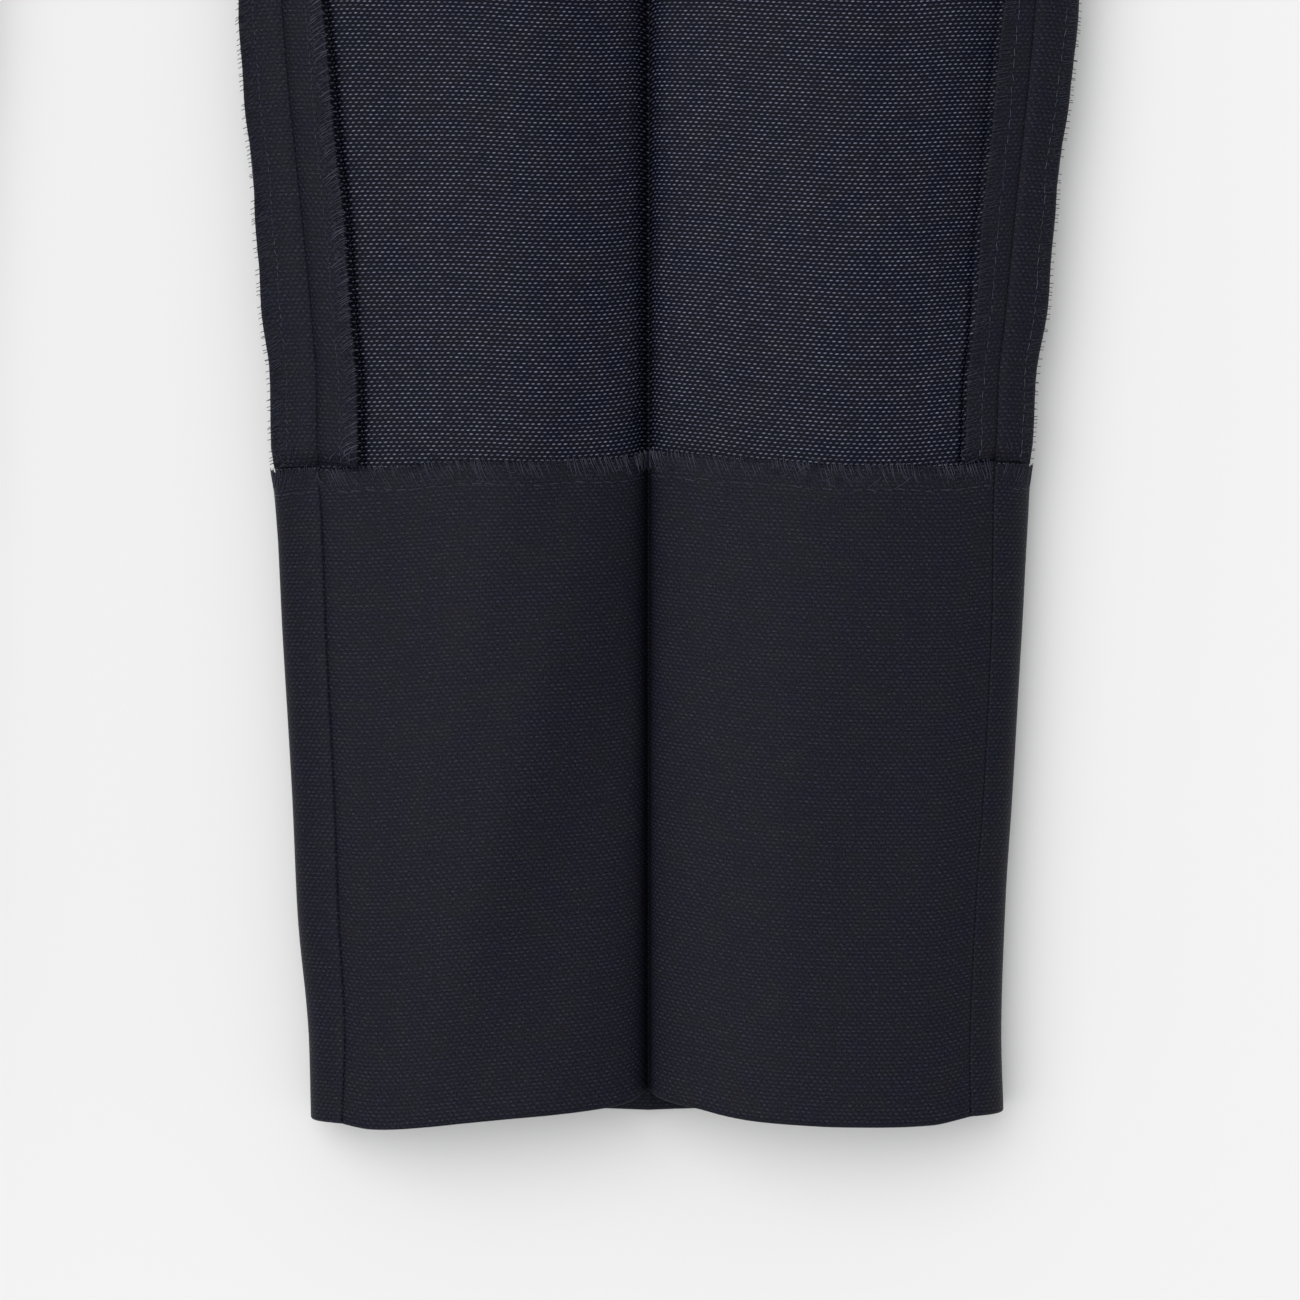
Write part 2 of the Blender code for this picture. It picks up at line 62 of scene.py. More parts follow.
def add_node(tree, kind, inputs, **settings):
    """Adds a node with the given settings and inputs, and returns its outputs."""
    made = tree.nodes.new("ShaderNode" + kind)
    for setting, value in settings.items():
        setattr(made, setting, value)
    for name, value in inputs.items():
        feed(tree, made.inputs[name], value)
    return made.outputs


def start_material(name, roughness, specular=0.5):
    """A new material, with its node tree and the inputs of its surface shader."""
    made = bpy.data.materials.new(name)
    made.use_nodes = True
    surface = made.node_tree.nodes["Principled BSDF"].inputs
    surface["Roughness"].default_value = roughness
    surface["Specular IOR Level"].default_value = specular
    return made, made.node_tree, surface


def ranged(tree, value, low, high, to_low=0.0, to_high=1.0):
    """A value's range from low to high, turned into another one."""
    ends = {"From Min": low, "From Max": high, "To Min": to_low, "To Max": to_high}
    return add_node(tree, "MapRange", {"Value": value, **ends})["Result"]


def noise(tree, place, scale, detail, **more):
    """A noise pattern's value."""
    inputs = {"Vector": place, "Scale": scale, "Detail": detail, **more}
    return add_node(tree, "TexNoise", inputs)["Fac"]


bpy.ops.object.camera_add(location=CAMERA_PLACE, rotation=(0.0, 0.0, 0.0))
camera = bpy.context.object
camera.data.lens = CAMERA_LENS
camera.data.sensor_width = 36.0
camera.data.clip_start = 0.01
bpy.context.scene.camera = camera
bpy.context.scene.view_settings.view_transform = "Standard"

bpy.ops.mesh.primitive_plane_add(size=TABLE_SIZE)
table_top = bpy.context.object
table_top.name = "table_top"
paint, tree, surface = start_material("table_paint", 0.9, 0.15)
place = add_node(tree, "TexCoord", {})["Object"]
feed(tree, surface["Base Color"], ranged(tree, noise(tree, place, 3.0, 1.0), 0.0, 1.0, 0.752, 0.770))
table_top.data.materials.append(paint)

room = bpy.data.worlds.new("studio")
room.use_nodes = True
sky = room.node_tree.nodes["Background"].inputs
sky["Color"].default_value = (0.985, 0.992, 1.0, 1.0)
sky["Strength"].default_value = 0.615
bpy.context.scene.world = room

bpy.ops.object.light_add(type="SUN", location=(-1.0, 0.6, 2.0))
lamp = bpy.context.object
lamp.name = "softbox"
lamp.data.energy = 2.06
lamp.data.angle = math.radians(72.0)
lamp.data.color = (1.0, 0.995, 0.985)
lamp.rotation_euler = (math.radians(-13.0), math.radians(-24.5), 0.0)
bpy.ops.object.select_all(action="DESELECT")

# The fronts. Each is one piece of dark worsted, cut whole from the waistband to the hem with a deep
# allowance that is folded up on the outside, and pressed with a sharp crease. Inside out, the cloth
# shows its wrong side, and the folded-up allowance shows its face.

# Heights up the garment, and the crease's place, lean and bend
LENGTH, WAIST_SEAM, CROTCH, TURN_UP = 1000.0, 960.0, 750.0, 177.0
CREASE_AT_HEM, CREASE_LEAN, KNEE_BEND = 150.0, 0.0965, (330.0, 530.0)
# The cloth's thickness, how far the middle of each layer stands off the form, the hem's fold, and how
# much more weave the turned-up allowance takes than its height
CLOTH, PANEL_OFFSET, TURN_UP_OFFSET = 0.5, 0.25, 1.55
HEM_RADIUS, HEM_FOLD, FULLNESS = 0.65, 1.15, 1.035
# How deep and wide the iron has bitten at the crease, and how much of the leg's edge stays bare
CREASE_BITE, CREASE_BITE_WIDTH, EDGE_SHOWS = 6.6, 1.7, 1.5
# How far the turn-up lifts the back off the table, and how high up the back stays lifted
BACK_LIFT, LIFT_FADES = 1.65, 18.0

# One row for each height: the cloth's inner and outer edge, the height of its top, the height of the
# edges, how deep the crease sinks, how far the back crease stands up, and the insets of the seams.
FORM_COLUMNS = ("s", "inner", "outer", "crest", "fold", "valley", "ridge", "inseam", "outseam")
FORM = np.array(
    (
        (0, 59.8, 245.0, 29.5, 9.0, 0.75, 4.5, 8.0, 8.7),
        (21, 59.3, 244.4, 29.5, 9.0, 0.75, 4.5, 9.4, 8.3),
        (57, 56.1, 245.5, 29.4, 9.0, 0.75, 4.3, 10.9, 7.8),
        (87, 54.7, 247.4, 29.3, 9.0, 0.75, 4.2, 11.2, 7.6),
        (130, 52.1, 249.9, 29.2, 9.0, 0.75, 4.0, 11.6, 8.0),
        (174, 49.3, 252.6, 29.0, 9.0, 0.75, 3.8, 12.6, 9.9),
        (183, 47.6, 254.2, 28.9, 9.0, 0.75, 3.8, 13.3, 10.7),
        (200, 47.3, 255.0, 28.8, 9.0, 0.75, 3.7, 13.5, 10.9),
        (218, 46.1, 257.0, 28.7, 9.0, 0.75, 3.7, 13.4, 11.0),
        (240, 44.1, 259.3, 28.5, 9.0, 0.75, 3.6, 13.2, 11.2),
        (305, 38.7, 266.8, 28.0, 9.0, 0.75, 3.5, 12.6, 12.4),
        (430, 35.7, 273.2, 27.5, 9.0, 0.75, 2.0, 12.0, 12.0),
        (600, 16.0, 274.0, 27.0, 9.0, 0.75, 0.0, 12.0, 12.0),
        (700, 6.6, 276.0, 27.0, 9.0, 0.70, 0.0, 12.0, 12.0),
        (735, 3.6, 277.0, 27.0, 9.0, 0.66, 0.0, 3.6, 12.0),
        (745, 1.6, 277.0, 27.0, 9.0, 0.65, 0.0, 1.0, 12.0),
        (750, 0.65, 277.0, 27.0, 9.0, 0.64, 0.0, 0.0, 12.0),
        (790, 0.15, 273.5, 25.8, 8.6, 0.60, 0.0, 0.0, 12.0),
        (830, 0.15, 265.5, 24.0, 8.0, 0.55, 0.0, 0.0, 12.0),
        (870, 0.15, 253.5, 21.5, 7.5, 0.50, 0.0, 0.0, 12.0),
        (915, 0.15, 237.0, 18.2, 7.0, 0.42, 0.0, 0.0, 12.0),
        (960, 0.15, 219.5, 15.0, 6.5, 0.35, 0.0, 0.0, 12.0),
        (1000, 0.15, 209.0, 13.5, 6.0, 0.30, 0.0, 0.0, 12.0),
    )
)

# How high the hem lies across the leg: the share of the way from the crease to the inner (negative) or
# outer edge, and the lift there.
HEM_LIFT = np.array(
    (
        (-1.0, 1.3), (-0.94, 0.3), (-0.82, -1.3), (-0.65, -0.1), (-0.55, 0.9), (-0.41, 2.1),
        (-0.3, 2.9), (-0.17, 4.0), (-0.1, 4.8), (-0.05, 5.9), (0.0, 7.7), (0.05, 6.2),
        (0.1, 5.2), (0.15, 4.4), (0.21, 3.0), (0.29, 1.7), (0.4, 0.8), (0.54, 0.05),
        (0.7, -0.2), (0.79, 0.0), (0.91, 1.9), (0.96, 2.6), (1.0, 2.9),
    )
).T

# Soft troughs and ridges that handling leaves: where each is, measured from the crease and up from
# the hem, its half width and half length, how far it leans, and its depth.
FOLDS = {
    "front": (
        (-67, 300, 15, 150, 0.02, -2.4), (-30, 290, 10, 120, 0.04, 0.7), (-62, 85, 13, 110, 0.37, 2.3),
        (-41, 85, 12, 100, 0.42, 2.1), (-82, 70, 12, 70, 0.30, -1.0), (-14, 95, 9, 80, 0.35, -0.7),
        (30, 150, 8, 170, 0.02, -0.5), (58, 255, 20, 80, -0.06, 0.8), (74, 330, 12, 140, -0.03, -1.0),
        (60, 70, 18, 60, 0.14, -0.9), (-50, 430, 18, 40, 0.9, -0.9), (45, 465, 16, 45, -0.8, -0.9),
        (62, 520, 18, 40, -0.5, 0.6), (-70, 700, 9, 60, 1.3, -1.1), (-95, 745, 8, 55, 1.5, 0.8),
        (-85, 780, 9, 60, 1.6, -1.0), (60, 800, 20, 70, 0.3, -0.7),
    ),
    "back": (
        (-44, 190, 14, 120, 0.08, 0.5), (48, 330, 16, 110, -0.05, 0.6), (-60, 620, 18, 60, 0.8, 0.9),
        (-80, 720, 12, 60, 1.2, 0.9), (70, 820, 20, 60, 0.2, 0.7),
    ),
}


def smooth_values(heights, values, at):
    """Values between the rows of a table, on a curve that never swings past them."""
    steps = np.diff(heights)
    slopes = np.diff(values) / steps
    near, far = slopes[:-1], slopes[1:]
    first, second = 2.0 * steps[1:] + steps[:-1], steps[1:] + 2.0 * steps[:-1]
    tangents = np.zeros(len(values))
    same = near * far > 0.0
    weights = np.where(same, first / np.where(same, near, 1.0) + second / np.where(same, far, 1.0), 1.0)
    tangents[1:-1] = np.where(same, (first + second) / weights, 0.0)
    tangents[0], tangents[-1] = slopes[0], slopes[-1]
    row = np.clip(np.searchsorted(heights, at, side="right") - 1, 0, len(steps) - 1)
    share = np.clip((at - heights[row]) / steps[row], 0.0, 1.0)
    rise = steps[row]
    return (
        values[row] * (1 + 2 * share) * (1 - share) ** 2
        + tangents[row] * rise * share * (1 - share) ** 2
        + values[row + 1] * share**2 * (3 - 2 * share)
        + tangents[row + 1] * rise * share**2 * (share - 1)
    )


def form_at(s):
    """The sizes of the cross-section at height s."""
    return {
        name: float(smooth_values(FORM[:, 0], FORM[:, column], np.float64(s)))
        for column, name in enumerate(FORM_COLUMNS)
    }


def smooth_step(value, start, end):
    share = np.clip((value - start) / (end - start), 0.0, 1.0)
    return share * share * (3.0 - 2.0 * share)


def hill(distance, width):
    """1 at no distance, falling softly away over the width to either side."""
    return np.exp(-((distance / width) ** 2))


def crease_x(s):
    """The leg lies straight from the hem to the knee, then leans in to the hip after a soft bend."""
    start, end = KNEE_BEND
    past = max(0.0, s - start)
    bending = min(past, end - start)
    return CREASE_AT_HEM - CREASE_LEAN * (0.5 * bending**2 / (end - start) + past - bending)


def distances_along(curve):
    return np.concatenate(([0.0], np.cumsum(np.hypot(*np.diff(curve, axis=0).T))))


def half_cloth(s, side, part, thick=1.0):
    """Fine points (x, z) across half of a front or back, from its crease to its seam."""
    size = form_at(s)
    crease = crease_x(s)
    edge = size[side]
    inner = side == "inner"
    rising = smooth_step(s, CROTCH, CROTCH + 50.0) if inner else 0.0
    sinking = smooth_step(s, CROTCH, CROTCH + 45.0) if inner else 0.0
    level = 0.5 * thick + BACK_LIFT * (1.0 - smooth_step(s, TURN_UP, TURN_UP + LIFT_FADES))

    # The outer lobe is flatter on top than the inner one, and rises faster from the crease
    flatness, valley_width = (2.2, 0.24) if inner else (2.8, 0.18)
    share = np.sin(np.linspace(0.0, 0.5 * math.pi, 240)) ** 1.15
    closed = np.sqrt(np.clip(1.0 - share**flatness, 0.0, None))
    form = closed + (1.0 - 0.18 * share**2 - closed) * rising
    valley = 1.0 - size["valley"] * np.exp(-share / valley_width)
    top_z = size["fold"] + (size["crest"] - size["fold"]) * form * valley
    top = np.stack((crease + (edge - crease) * share, top_z), axis=1)
    top_reach = distances_along(top)
    from_edge = np.abs(top[:, 0] - top[-1, 0])[::-1]
    inset = size["inseam" if inner else "outseam"]
    seam = top_reach[-1] - np.interp(inset, from_edge, (top_reach[-1] - top_reach)[::-1])
    at_seam = np.array([[np.interp(seam, top_reach, top[:, axis]) for axis in (0, 1)]])
    if part == "front":
        return np.concatenate((top[top_reach < seam - 0.02], at_seam))

    turn = np.linspace(0.0, 0.5 * math.pi, 60)
    inward = math.copysign(1.0, crease - edge)
    fold_height = (size["fold"] - level) * (1.0 - sinking)
    fold = np.stack(
        (edge + inward * 14.0 * (1.0 - np.cos(turn)), level + fold_height * (1.0 - np.sin(turn))), axis=1
    )
    across = np.linspace(fold[-1, 0], crease, 90)[1:]
    tent = np.clip(1.0 - np.abs(across - crease) / 26.0, 0.0, 1.0)
    flat = np.stack((across, level + size["ridge"] * tent**2), axis=1)
    under = np.concatenate((fold, flat))
    if inner and s > CROTCH:
        return under[::-1]
    return np.concatenate((at_seam, top[top_reach > seam + 0.02], under[1:]))[::-1]


def front_lift(x, s):
    """How much higher than the lobes the hem lies at x."""
    size = form_at(s)
    crease = crease_x(s)
    share = (x - crease) / np.where(x < crease, crease - size["inner"], size["outer"] - crease)
    return smooth_values(*HEM_LIFT, share)


def unevenness(part, across, s, to_seam, leg):
    """How far the cloth stands off its smooth form: its folds and a faint waviness."""
    shift = 0.0 if leg == "right" else 23.0
    total = np.zeros(np.broadcast(across, s).shape)
    for place, height, half_width, half_length, lean, depth in FOLDS[part]:
        if leg == "left":
            height = height + 31.0 * math.sin(place)
            place = place * 0.86
        along = s - height
        off = across - place - lean * along / (1.0 + abs(lean))
        total += depth * hill(off, half_width) * hill(along, half_length)
    moved = across + shift
    wave = 0.16 * np.sin(moved / 21.0 + s / 87.0) + 0.13 * np.sin(s / 41.0 - moved / 33.0)
    wave += 0.08 * np.sin(s / 17.0 + (across - shift) / 26.0) * np.sin(moved / 14.0)
    wave += 0.10 * np.sin((s + 2.0 * shift) / 63.0)
    calm = smooth_step(to_seam, 2.0, 26.0)
    if part == "back":
        calm = calm * 0.35
    return (total + wave) * calm


def cloth_patch(leg, part, side, heights, places, thick=1.0):
    """The cloth of half a front or back at some heights. places turns the half's width into distances
    from the crease. The rows of the result are x, z, the outward direction, the distance from the
    crease, the distance from the seam and the lift."""
    found = []
    for s in heights:
        curve = half_cloth(s, side, part, thick)
        reach = distances_along(curve)
        at = np.asarray(places(reach[-1]), dtype=float)
        slope = np.gradient(curve, reach, axis=0)
        sign = 1.0 if (part == "front") == (side == "inner") else -1.0
        out = sign * np.stack((slope[:, 1], -slope[:, 0]), axis=1)
        x, z = (np.interp(at, reach, curve[:, axis]) for axis in (0, 1))
        out_x, out_z = (np.interp(at, reach, out[:, axis]) for axis in (0, 1))
        size = np.hypot(out_x, out_z)
        out_x, out_z = out_x / size, out_z / size
        # Beside the crease the layers stay parallel without crossing the crease's own line
        close = np.clip(at / 3.4, 0.0, 1.0)
        level = np.maximum(np.abs(out_z), 0.35)
        tilt = out_x / level
        eased = out_x * close
        stretched = np.sign(out_z) * (1.0 / level - np.abs(tilt) * np.abs(eased))
        blend = smooth_step(at, 0.0, 6.0)
        out_z = stretched * (1.0 - blend) + out_z * blend
        out_x = eased
        if part == "front":
            lift = front_lift(x, s)
        else:
            ends = front_lift(half_cloth(s, side, "front")[-1:, 0], s)[0]
            near_seam = smooth_step(at, reach[-1] - 34.0, reach[-1] - 12.0)
            lift = 1.7 + (ends - 1.7) * near_seam
        found.append((x, z, out_x, out_z, at, reach[-1] - at, lift))
    return np.array(found).transpose(1, 0, 2)


def raised(patch, heights, offset, leg, part, slide=0.0, lowest=0.3):
    """Points in metres at some offset outwards from a patch of cloth."""
    x, z, out_x, out_z, across, to_seam, lift = patch
    s = np.asarray(heights, dtype=float).reshape(len(heights), -1) + np.zeros(x.shape)
    total = np.broadcast_to(offset, x.shape) + unevenness(part, across, s, to_seam, leg)
    moved_x = np.maximum(x + out_x * total, 0.12)
    moved_z = np.maximum(z + out_z * total, lowest)
    y = s + slide + lift * np.clip(1.0 - s / 400.0, 0.0, None) - 0.5 * LENGTH
    sign = 1.0 if leg == "right" else -1.0
    return np.stack((sign * moved_x, y, moved_z), axis=2) * MM


def cloth_grid(name, points, pattern, leg):
    """A grid of cloth through the given points (rows, columns, xyz). pattern is its place in the weave."""
    rows, columns = points.shape[:2]
    if leg == "left":
        points, pattern = points[:, ::-1], pattern[:, ::-1]
    bpy.ops.mesh.primitive_grid_add(x_subdivisions=columns - 1, y_subdivisions=rows - 1, size=1.0)
    cloth = bpy.context.object
    cloth.name = cloth.data.name = name
    cloth.data.vertices.foreach_set("co", points.reshape(-1))
    corners = np.zeros(len(cloth.data.loops), dtype=np.int64)
    cloth.data.loops.foreach_get("vertex_index", corners)
    woven = pattern.reshape(-1, 2)[corners]
    cloth.data.uv_layers[0].name = "weave"
    cloth.data.uv_layers[0].data.foreach_set("uv", woven.reshape(-1))
    cloth.data.update()
    bpy.ops.object.shade_smooth()
    return cloth


def settle(piece, node=None):
    """Attaches a piece to the root body, and hides the CAD node that it stands for, if one is given."""
    if node:
        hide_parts(node)
    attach(piece, "root")


def make_shell(cloth, thickness, outside, inside, node):
    """Turns a grid into a shell with one material on each side, in the place of a CAD node."""
    cloth.data.materials.append(outside)
    cloth.data.materials.append(inside)
    shell = cloth.modifiers.new("thickness", "SOLIDIFY")
    shell.thickness = thickness * MM
    shell.offset = 0.0
    shell.material_offset = 1
    bpy.context.view_layer.objects.active = cloth
    bpy.ops.object.modifier_apply(modifier="thickness")
    bpy.ops.object.select_all(action="DESELECT")
    settle(cloth, node)
    return cloth


# How the pressing has pulled the weft askew: a distance from the crease, and the slope there.
WEFT_PULL = np.array(
    (
        (-120, 0.0), (-100, 0.02), (-78, 0.035), (-59, 0.062), (-40, 0.085), (-21.6, -0.007),
        (-8, -0.07), (0, 0.0), (10.8, 0.049), (27, 0.044), (46, 0.054), (65, -0.021),
        (78, -0.093), (100, -0.06), (120, 0.0),
    )
).T


def weave_place(patch, v, pull=1.0):
    """Where each point lies in the weave: across from the crease and along the cloth."""
    across = patch[4]
    steps = np.linspace(-160.0, 160.0, 641)
    slopes = np.interp(steps, *WEFT_PULL)
    pulled = np.interp(across, steps, np.cumsum(slopes) * 0.5)
    along = np.broadcast_to(np.asarray(v, dtype=float).reshape(-1, 1), across.shape) + pull * pulled
    return np.stack((across, along), axis=2) * MM


def maths(tree, operation, *values):
    return add_node(tree, "Math", dict(enumerate(values)), operation=operation)[0]


def dashed_weave():
    """The weave of the suiting as a node group: soft dashes of light weft in staggered rows, each with
    its own brightness, and the slow drift of the yarn's colour."""
    group = bpy.data.node_groups.new("dashed_weave", "ShaderNodeTree")
    group.interface.new_socket("Weave Place", in_out="INPUT", socket_type="NodeSocketVector")
    for name, value in (
        ("Dash Pitch", 0.00156),
        ("Row Pitch", 0.001085),
        ("Dash Length", 0.29),
        ("Dash Height", 0.24),
        ("Softness", 1.3),
    ):
        made = group.interface.new_socket(name, in_out="INPUT", socket_type="NodeSocketFloat")
        made.default_value = value
    for name in ("Dash", "Height", "Drift", "Slub", "Grain"):
        group.interface.new_socket(name, in_out="OUTPUT", socket_type="NodeSocketFloat")
    given = group.nodes.new("NodeGroupInput").outputs
    result = group.nodes.new("NodeGroupOutput").inputs
    place = given["Weave Place"]

    def calc(operation, *values):
        return maths(group, operation, *values)

    wobble = add_node(group, "TexNoise", {"Vector": place, "Scale": 420.0, "Detail": 1.0})["Color"]
    reach = {0: wobble, 1: (0.00034, 0.00024, 0.0), 2: place}
    shaken = add_node(group, "VectorMath", reach, operation="MULTIPLY_ADD")[0]
    x, y, _ = add_node(group, "SeparateXYZ", {0: shaken})
    up = calc("DIVIDE", y, given["Row Pitch"])
    row = calc("FLOOR", up)
    stagger = calc("MULTIPLY", calc("FLOORED_MODULO", row, 2.0), 0.5)
    across = calc("ADD", calc("DIVIDE", x, given["Dash Pitch"]), stagger)
    cell = calc("FLOOR", across)
    in_x = calc("SUBTRACT", calc("SUBTRACT", across, cell), 0.5)
    level_y = calc("SUBTRACT", calc("SUBTRACT", up, row), 0.5)
    in_y = calc("SUBTRACT", level_y, calc("MULTIPLY", in_x, 0.16))
    far_x = calc("POWER", calc("DIVIDE", in_x, given["Dash Length"]), 2.0)
    far_y = calc("POWER", calc("DIVIDE", in_y, given["Dash Height"]), 2.0)
    far = calc("SQRT", calc("ADD", far_x, far_y))
    edge = {"Value": far, "From Min": given["Softness"], "From Max": 0.25}
    spot = add_node(group, "MapRange", edge, interpolation_type="SMOOTHSTEP")["Result"]
    cell_place = add_node(group, "CombineXYZ", {0: cell, 1: row})[0]
    lot = add_node(group, "TexWhiteNoise", {"Vector": cell_place}, noise_dimensions="2D")["Value"]
    bright = calc("ADD", calc("MULTIPLY", lot, 0.6), 0.4)
    feed(group, result["Dash"], calc("MULTIPLY", spot, bright))
    feed(group, result["Height"], spot)
    yarn = add_node(group, "Mapping", {"Vector": place, "Scale": (130.0, 1500.0, 1.0)})["Vector"]
    feed(group, result["Drift"], noise(group, place, 105.0, 4.0, Roughness=0.62))
    feed(group, result["Slub"], noise(group, yarn, 1.0, 2.0))
    feed(group, result["Grain"], noise(group, place, 2300.0, 1.0))
    return group


def mixed(tree, factor, first, second):
    """A colour between two others, each a colour or a socket."""
    first, second = ((*value, 1.0) if isinstance(value, tuple) else value for value in (first, second))
    return add_node(tree, "Mix", {0: factor, 6: first, 7: second}, data_type="RGBA")[2]


def suiting(name, ground, ground_drift, dash, dash_drift, dash_size, gloss, grain_size, relief, softness):
    """A side of the suiting: its ground and its dashes, each drifting between two colours. gloss is the
    specular level of the ground and of a dash."""
    cloth, tree, surface = start_material(name, 0.48)
    group = bpy.data.node_groups.get("dashed_weave") or dashed_weave()
    place = add_node(tree, "UVMap", {}, uv_map="weave")["UV"]
    weave = tree.nodes.new("ShaderNodeGroup")
    weave.node_tree = group
    sizes = {"Dash Length": dash_size[0], "Dash Height": dash_size[1], "Softness": softness}
    for socket, value in {"Weave Place": place, **sizes}.items():
        feed(tree, weave.inputs[socket], value)
    weave = weave.outputs
    under = mixed(tree, ranged(tree, weave["Drift"], 0.34, 0.68), ground, ground_drift)
    over = mixed(tree, ranged(tree, weave["Slub"], 0.35, 0.70), dash, dash_drift)
    grain = ranged(tree, weave["Grain"], 0.3, 0.7, 1.0 - grain_size, 1.0 + grain_size)
    colour = {0: mixed(tree, weave["Dash"], under, over), "Scale": grain}
    feed(tree, surface["Base Color"], add_node(tree, "VectorMath", colour, operation="SCALE")["Vector"])
    feed(tree, surface["Specular IOR Level"], ranged(tree, weave["Dash"], 0.0, 1.0, *gloss))
    height = maths(tree, "MULTIPLY_ADD", weave["Slub"], 0.35, weave["Height"])
    bump = add_node(tree, "Bump", {"Distance": relief, "Strength": 0.6, "Height": height})["Normal"]
    feed(tree, surface["Normal"], bump)
    return cloth


wrong_side = suiting(
    "suiting_wrong_side",
    ground=(0.0028, 0.0036, 0.0098),
    ground_drift=(0.0054, 0.0056, 0.0096),
    dash=(0.195, 0.207, 0.282),
    dash_drift=(0.124, 0.134, 0.196),
    dash_size=(0.32, 0.185),
    gloss=(0.045, 0.26),
    grain_size=0.35,
    relief=0.00016,
    softness=1.3,
)
face_side = suiting(
    "suiting_face",
    ground=(0.0070, 0.0078, 0.0148),
    ground_drift=(0.0090, 0.0087, 0.0122),
    dash=(0.0250, 0.0270, 0.0385),
    dash_drift=(0.0185, 0.0196, 0.0290),
    dash_size=(0.34, 0.25),
    gloss=(0.05, 0.07),
    grain_size=0.60,
    relief=0.00012,
    softness=1.5,
)

# The heights of a panel's rows down to the hem and up the allowance, closer together where the cloth
# bends and where the photo looks, and the columns' distances beside the crease
panel_heights = np.concatenate(
    (
        np.arange(WAIST_SEAM, 790.0, -7.0),
        np.arange(788.0, 700.0, -5.0),
        np.arange(698.0, 330.0, -8.0),
        np.arange(330.0, 8.0, -4.2),
        (7.0, 3.5, HEM_FOLD),
    )
)
turn_up_heights = np.concatenate(
    ((HEM_FOLD, 3.5, 7.0), np.arange(11.0, 166.0, 4.2), np.linspace(168.0, TURN_UP, 7))
)
crease_steps = np.array((0.0, 0.5, 1.1, 1.9, 2.9, 4.2, 6.0, 8.5, 12.0))


def across_half(width):
    """Distances from the crease to the seam: close together by the crease, where an allowance ends and
    by the seam."""
    shares = np.linspace(0.0, 1.0, 26)[1:]
    by_allowance = width - np.array((14.6, 13.6, 13.0, 12.4, 11.8, 11.2, 10.6, 10.0, 9.4, 8.7, 8.0, 7.2))
    by_seam = width - np.array((6.0, 3.0, 1.6, 0.8, 0.08))
    return np.concatenate((crease_steps, 12.0 + (width - 29.0) * shares, by_allowance, by_seam))


def edge_wobble(across, leg):
    """How far a raw edge wanders, cut by hand and overlocked."""
    shift = 0.0 if leg == "right" else 17.0
    fine = 0.25 * np.sin((across - shift) / 4.7)
    return 0.45 * np.sin((across + shift) / 13.0) + fine + 0.3 * np.sin(across / 31.0)


def pressed_crease(patch, s):
    """The extra bite of the iron at the crease, in millimetres inwards."""
    fade = smooth_step(WAIST_SEAM - s, 20.0, 260.0)
    depth = CREASE_BITE * (0.8 + 0.2 * smooth_step(s, TURN_UP - 8.0, TURN_UP + 12.0))
    width = np.where(patch[4] > 0.0, 0.7, 1.25) * CREASE_BITE_WIDTH
    return depth * np.exp(-np.abs(patch[4]) / width) * fade


def allowance_width(part, side, s):
    """How wide an allowance is at height s: the back's stop just short of the leg's own edge."""
    if part == "back":
        curve = half_cloth(s, side, "back")[::-1]
        short = np.argmax(np.abs(curve[:, 0] - form_at(s)[side]) < EDGE_SHOWS)
        wander = 0.4 * math.sin(s / 11.0) + 0.3 * math.sin(s / 4.3 + 1.0)
        return max(9.0, distances_along(curve)[short] + wander)
    wander = 1.0 + 0.03 * math.sin(s / 19.0) + 0.018 * math.sin(s / 7.3)
    return (12.0 if side == "inner" else 9.5) * wander


def pressed_print(patch, s):
    """What the pressed-open allowances have left in the front: a narrow groove along the raw edge, and
    the cloth sinking towards it. Both are deeper at the inseam."""
    outer = patch[4] > 0.0
    outer_widths, inner_widths = (
        [[allowance_width("front", side, height)] for height in s[:, 0]] for side in ("outer", "inner")
    )
    past = patch[5] - np.where(outer, outer_widths, inner_widths)
    upper = smooth_step(s, TURN_UP + 28.0, TURN_UP + 55.0)
    groove = np.where(outer, 1.9 - 1.5 * upper, 1.9) * hill(past + 0.1, 0.85)
    sunk = np.where(outer, 0.4 + 3.0 * upper, 1.2) * hill(past, np.where(outer, 10.0, 5.5))
    strength = smooth_step(s, TURN_UP - 4.0, TURN_UP + 4.0) * (1.0 - smooth_step(s, 640.0, 700.0))
    return strength * (0.85 + 0.15 * np.cos((s - TURN_UP) / 60.0)) * (groove + sunk)


def whole_patch(leg, part, heights, places, thick=1.0):
    """Both halves of a front, from its outer seam to its inner one, or of a back, the other way."""
    outer, inner = (cloth_patch(leg, part, side, heights, places, thick) for side in ("outer", "inner"))
    inner[4] *= -1.0
    first, second = (outer, inner) if part == "front" else (inner, outer)
    return np.concatenate((first[:, :, ::-1], second[:, :, 1:]), axis=2)


turned_up = {}


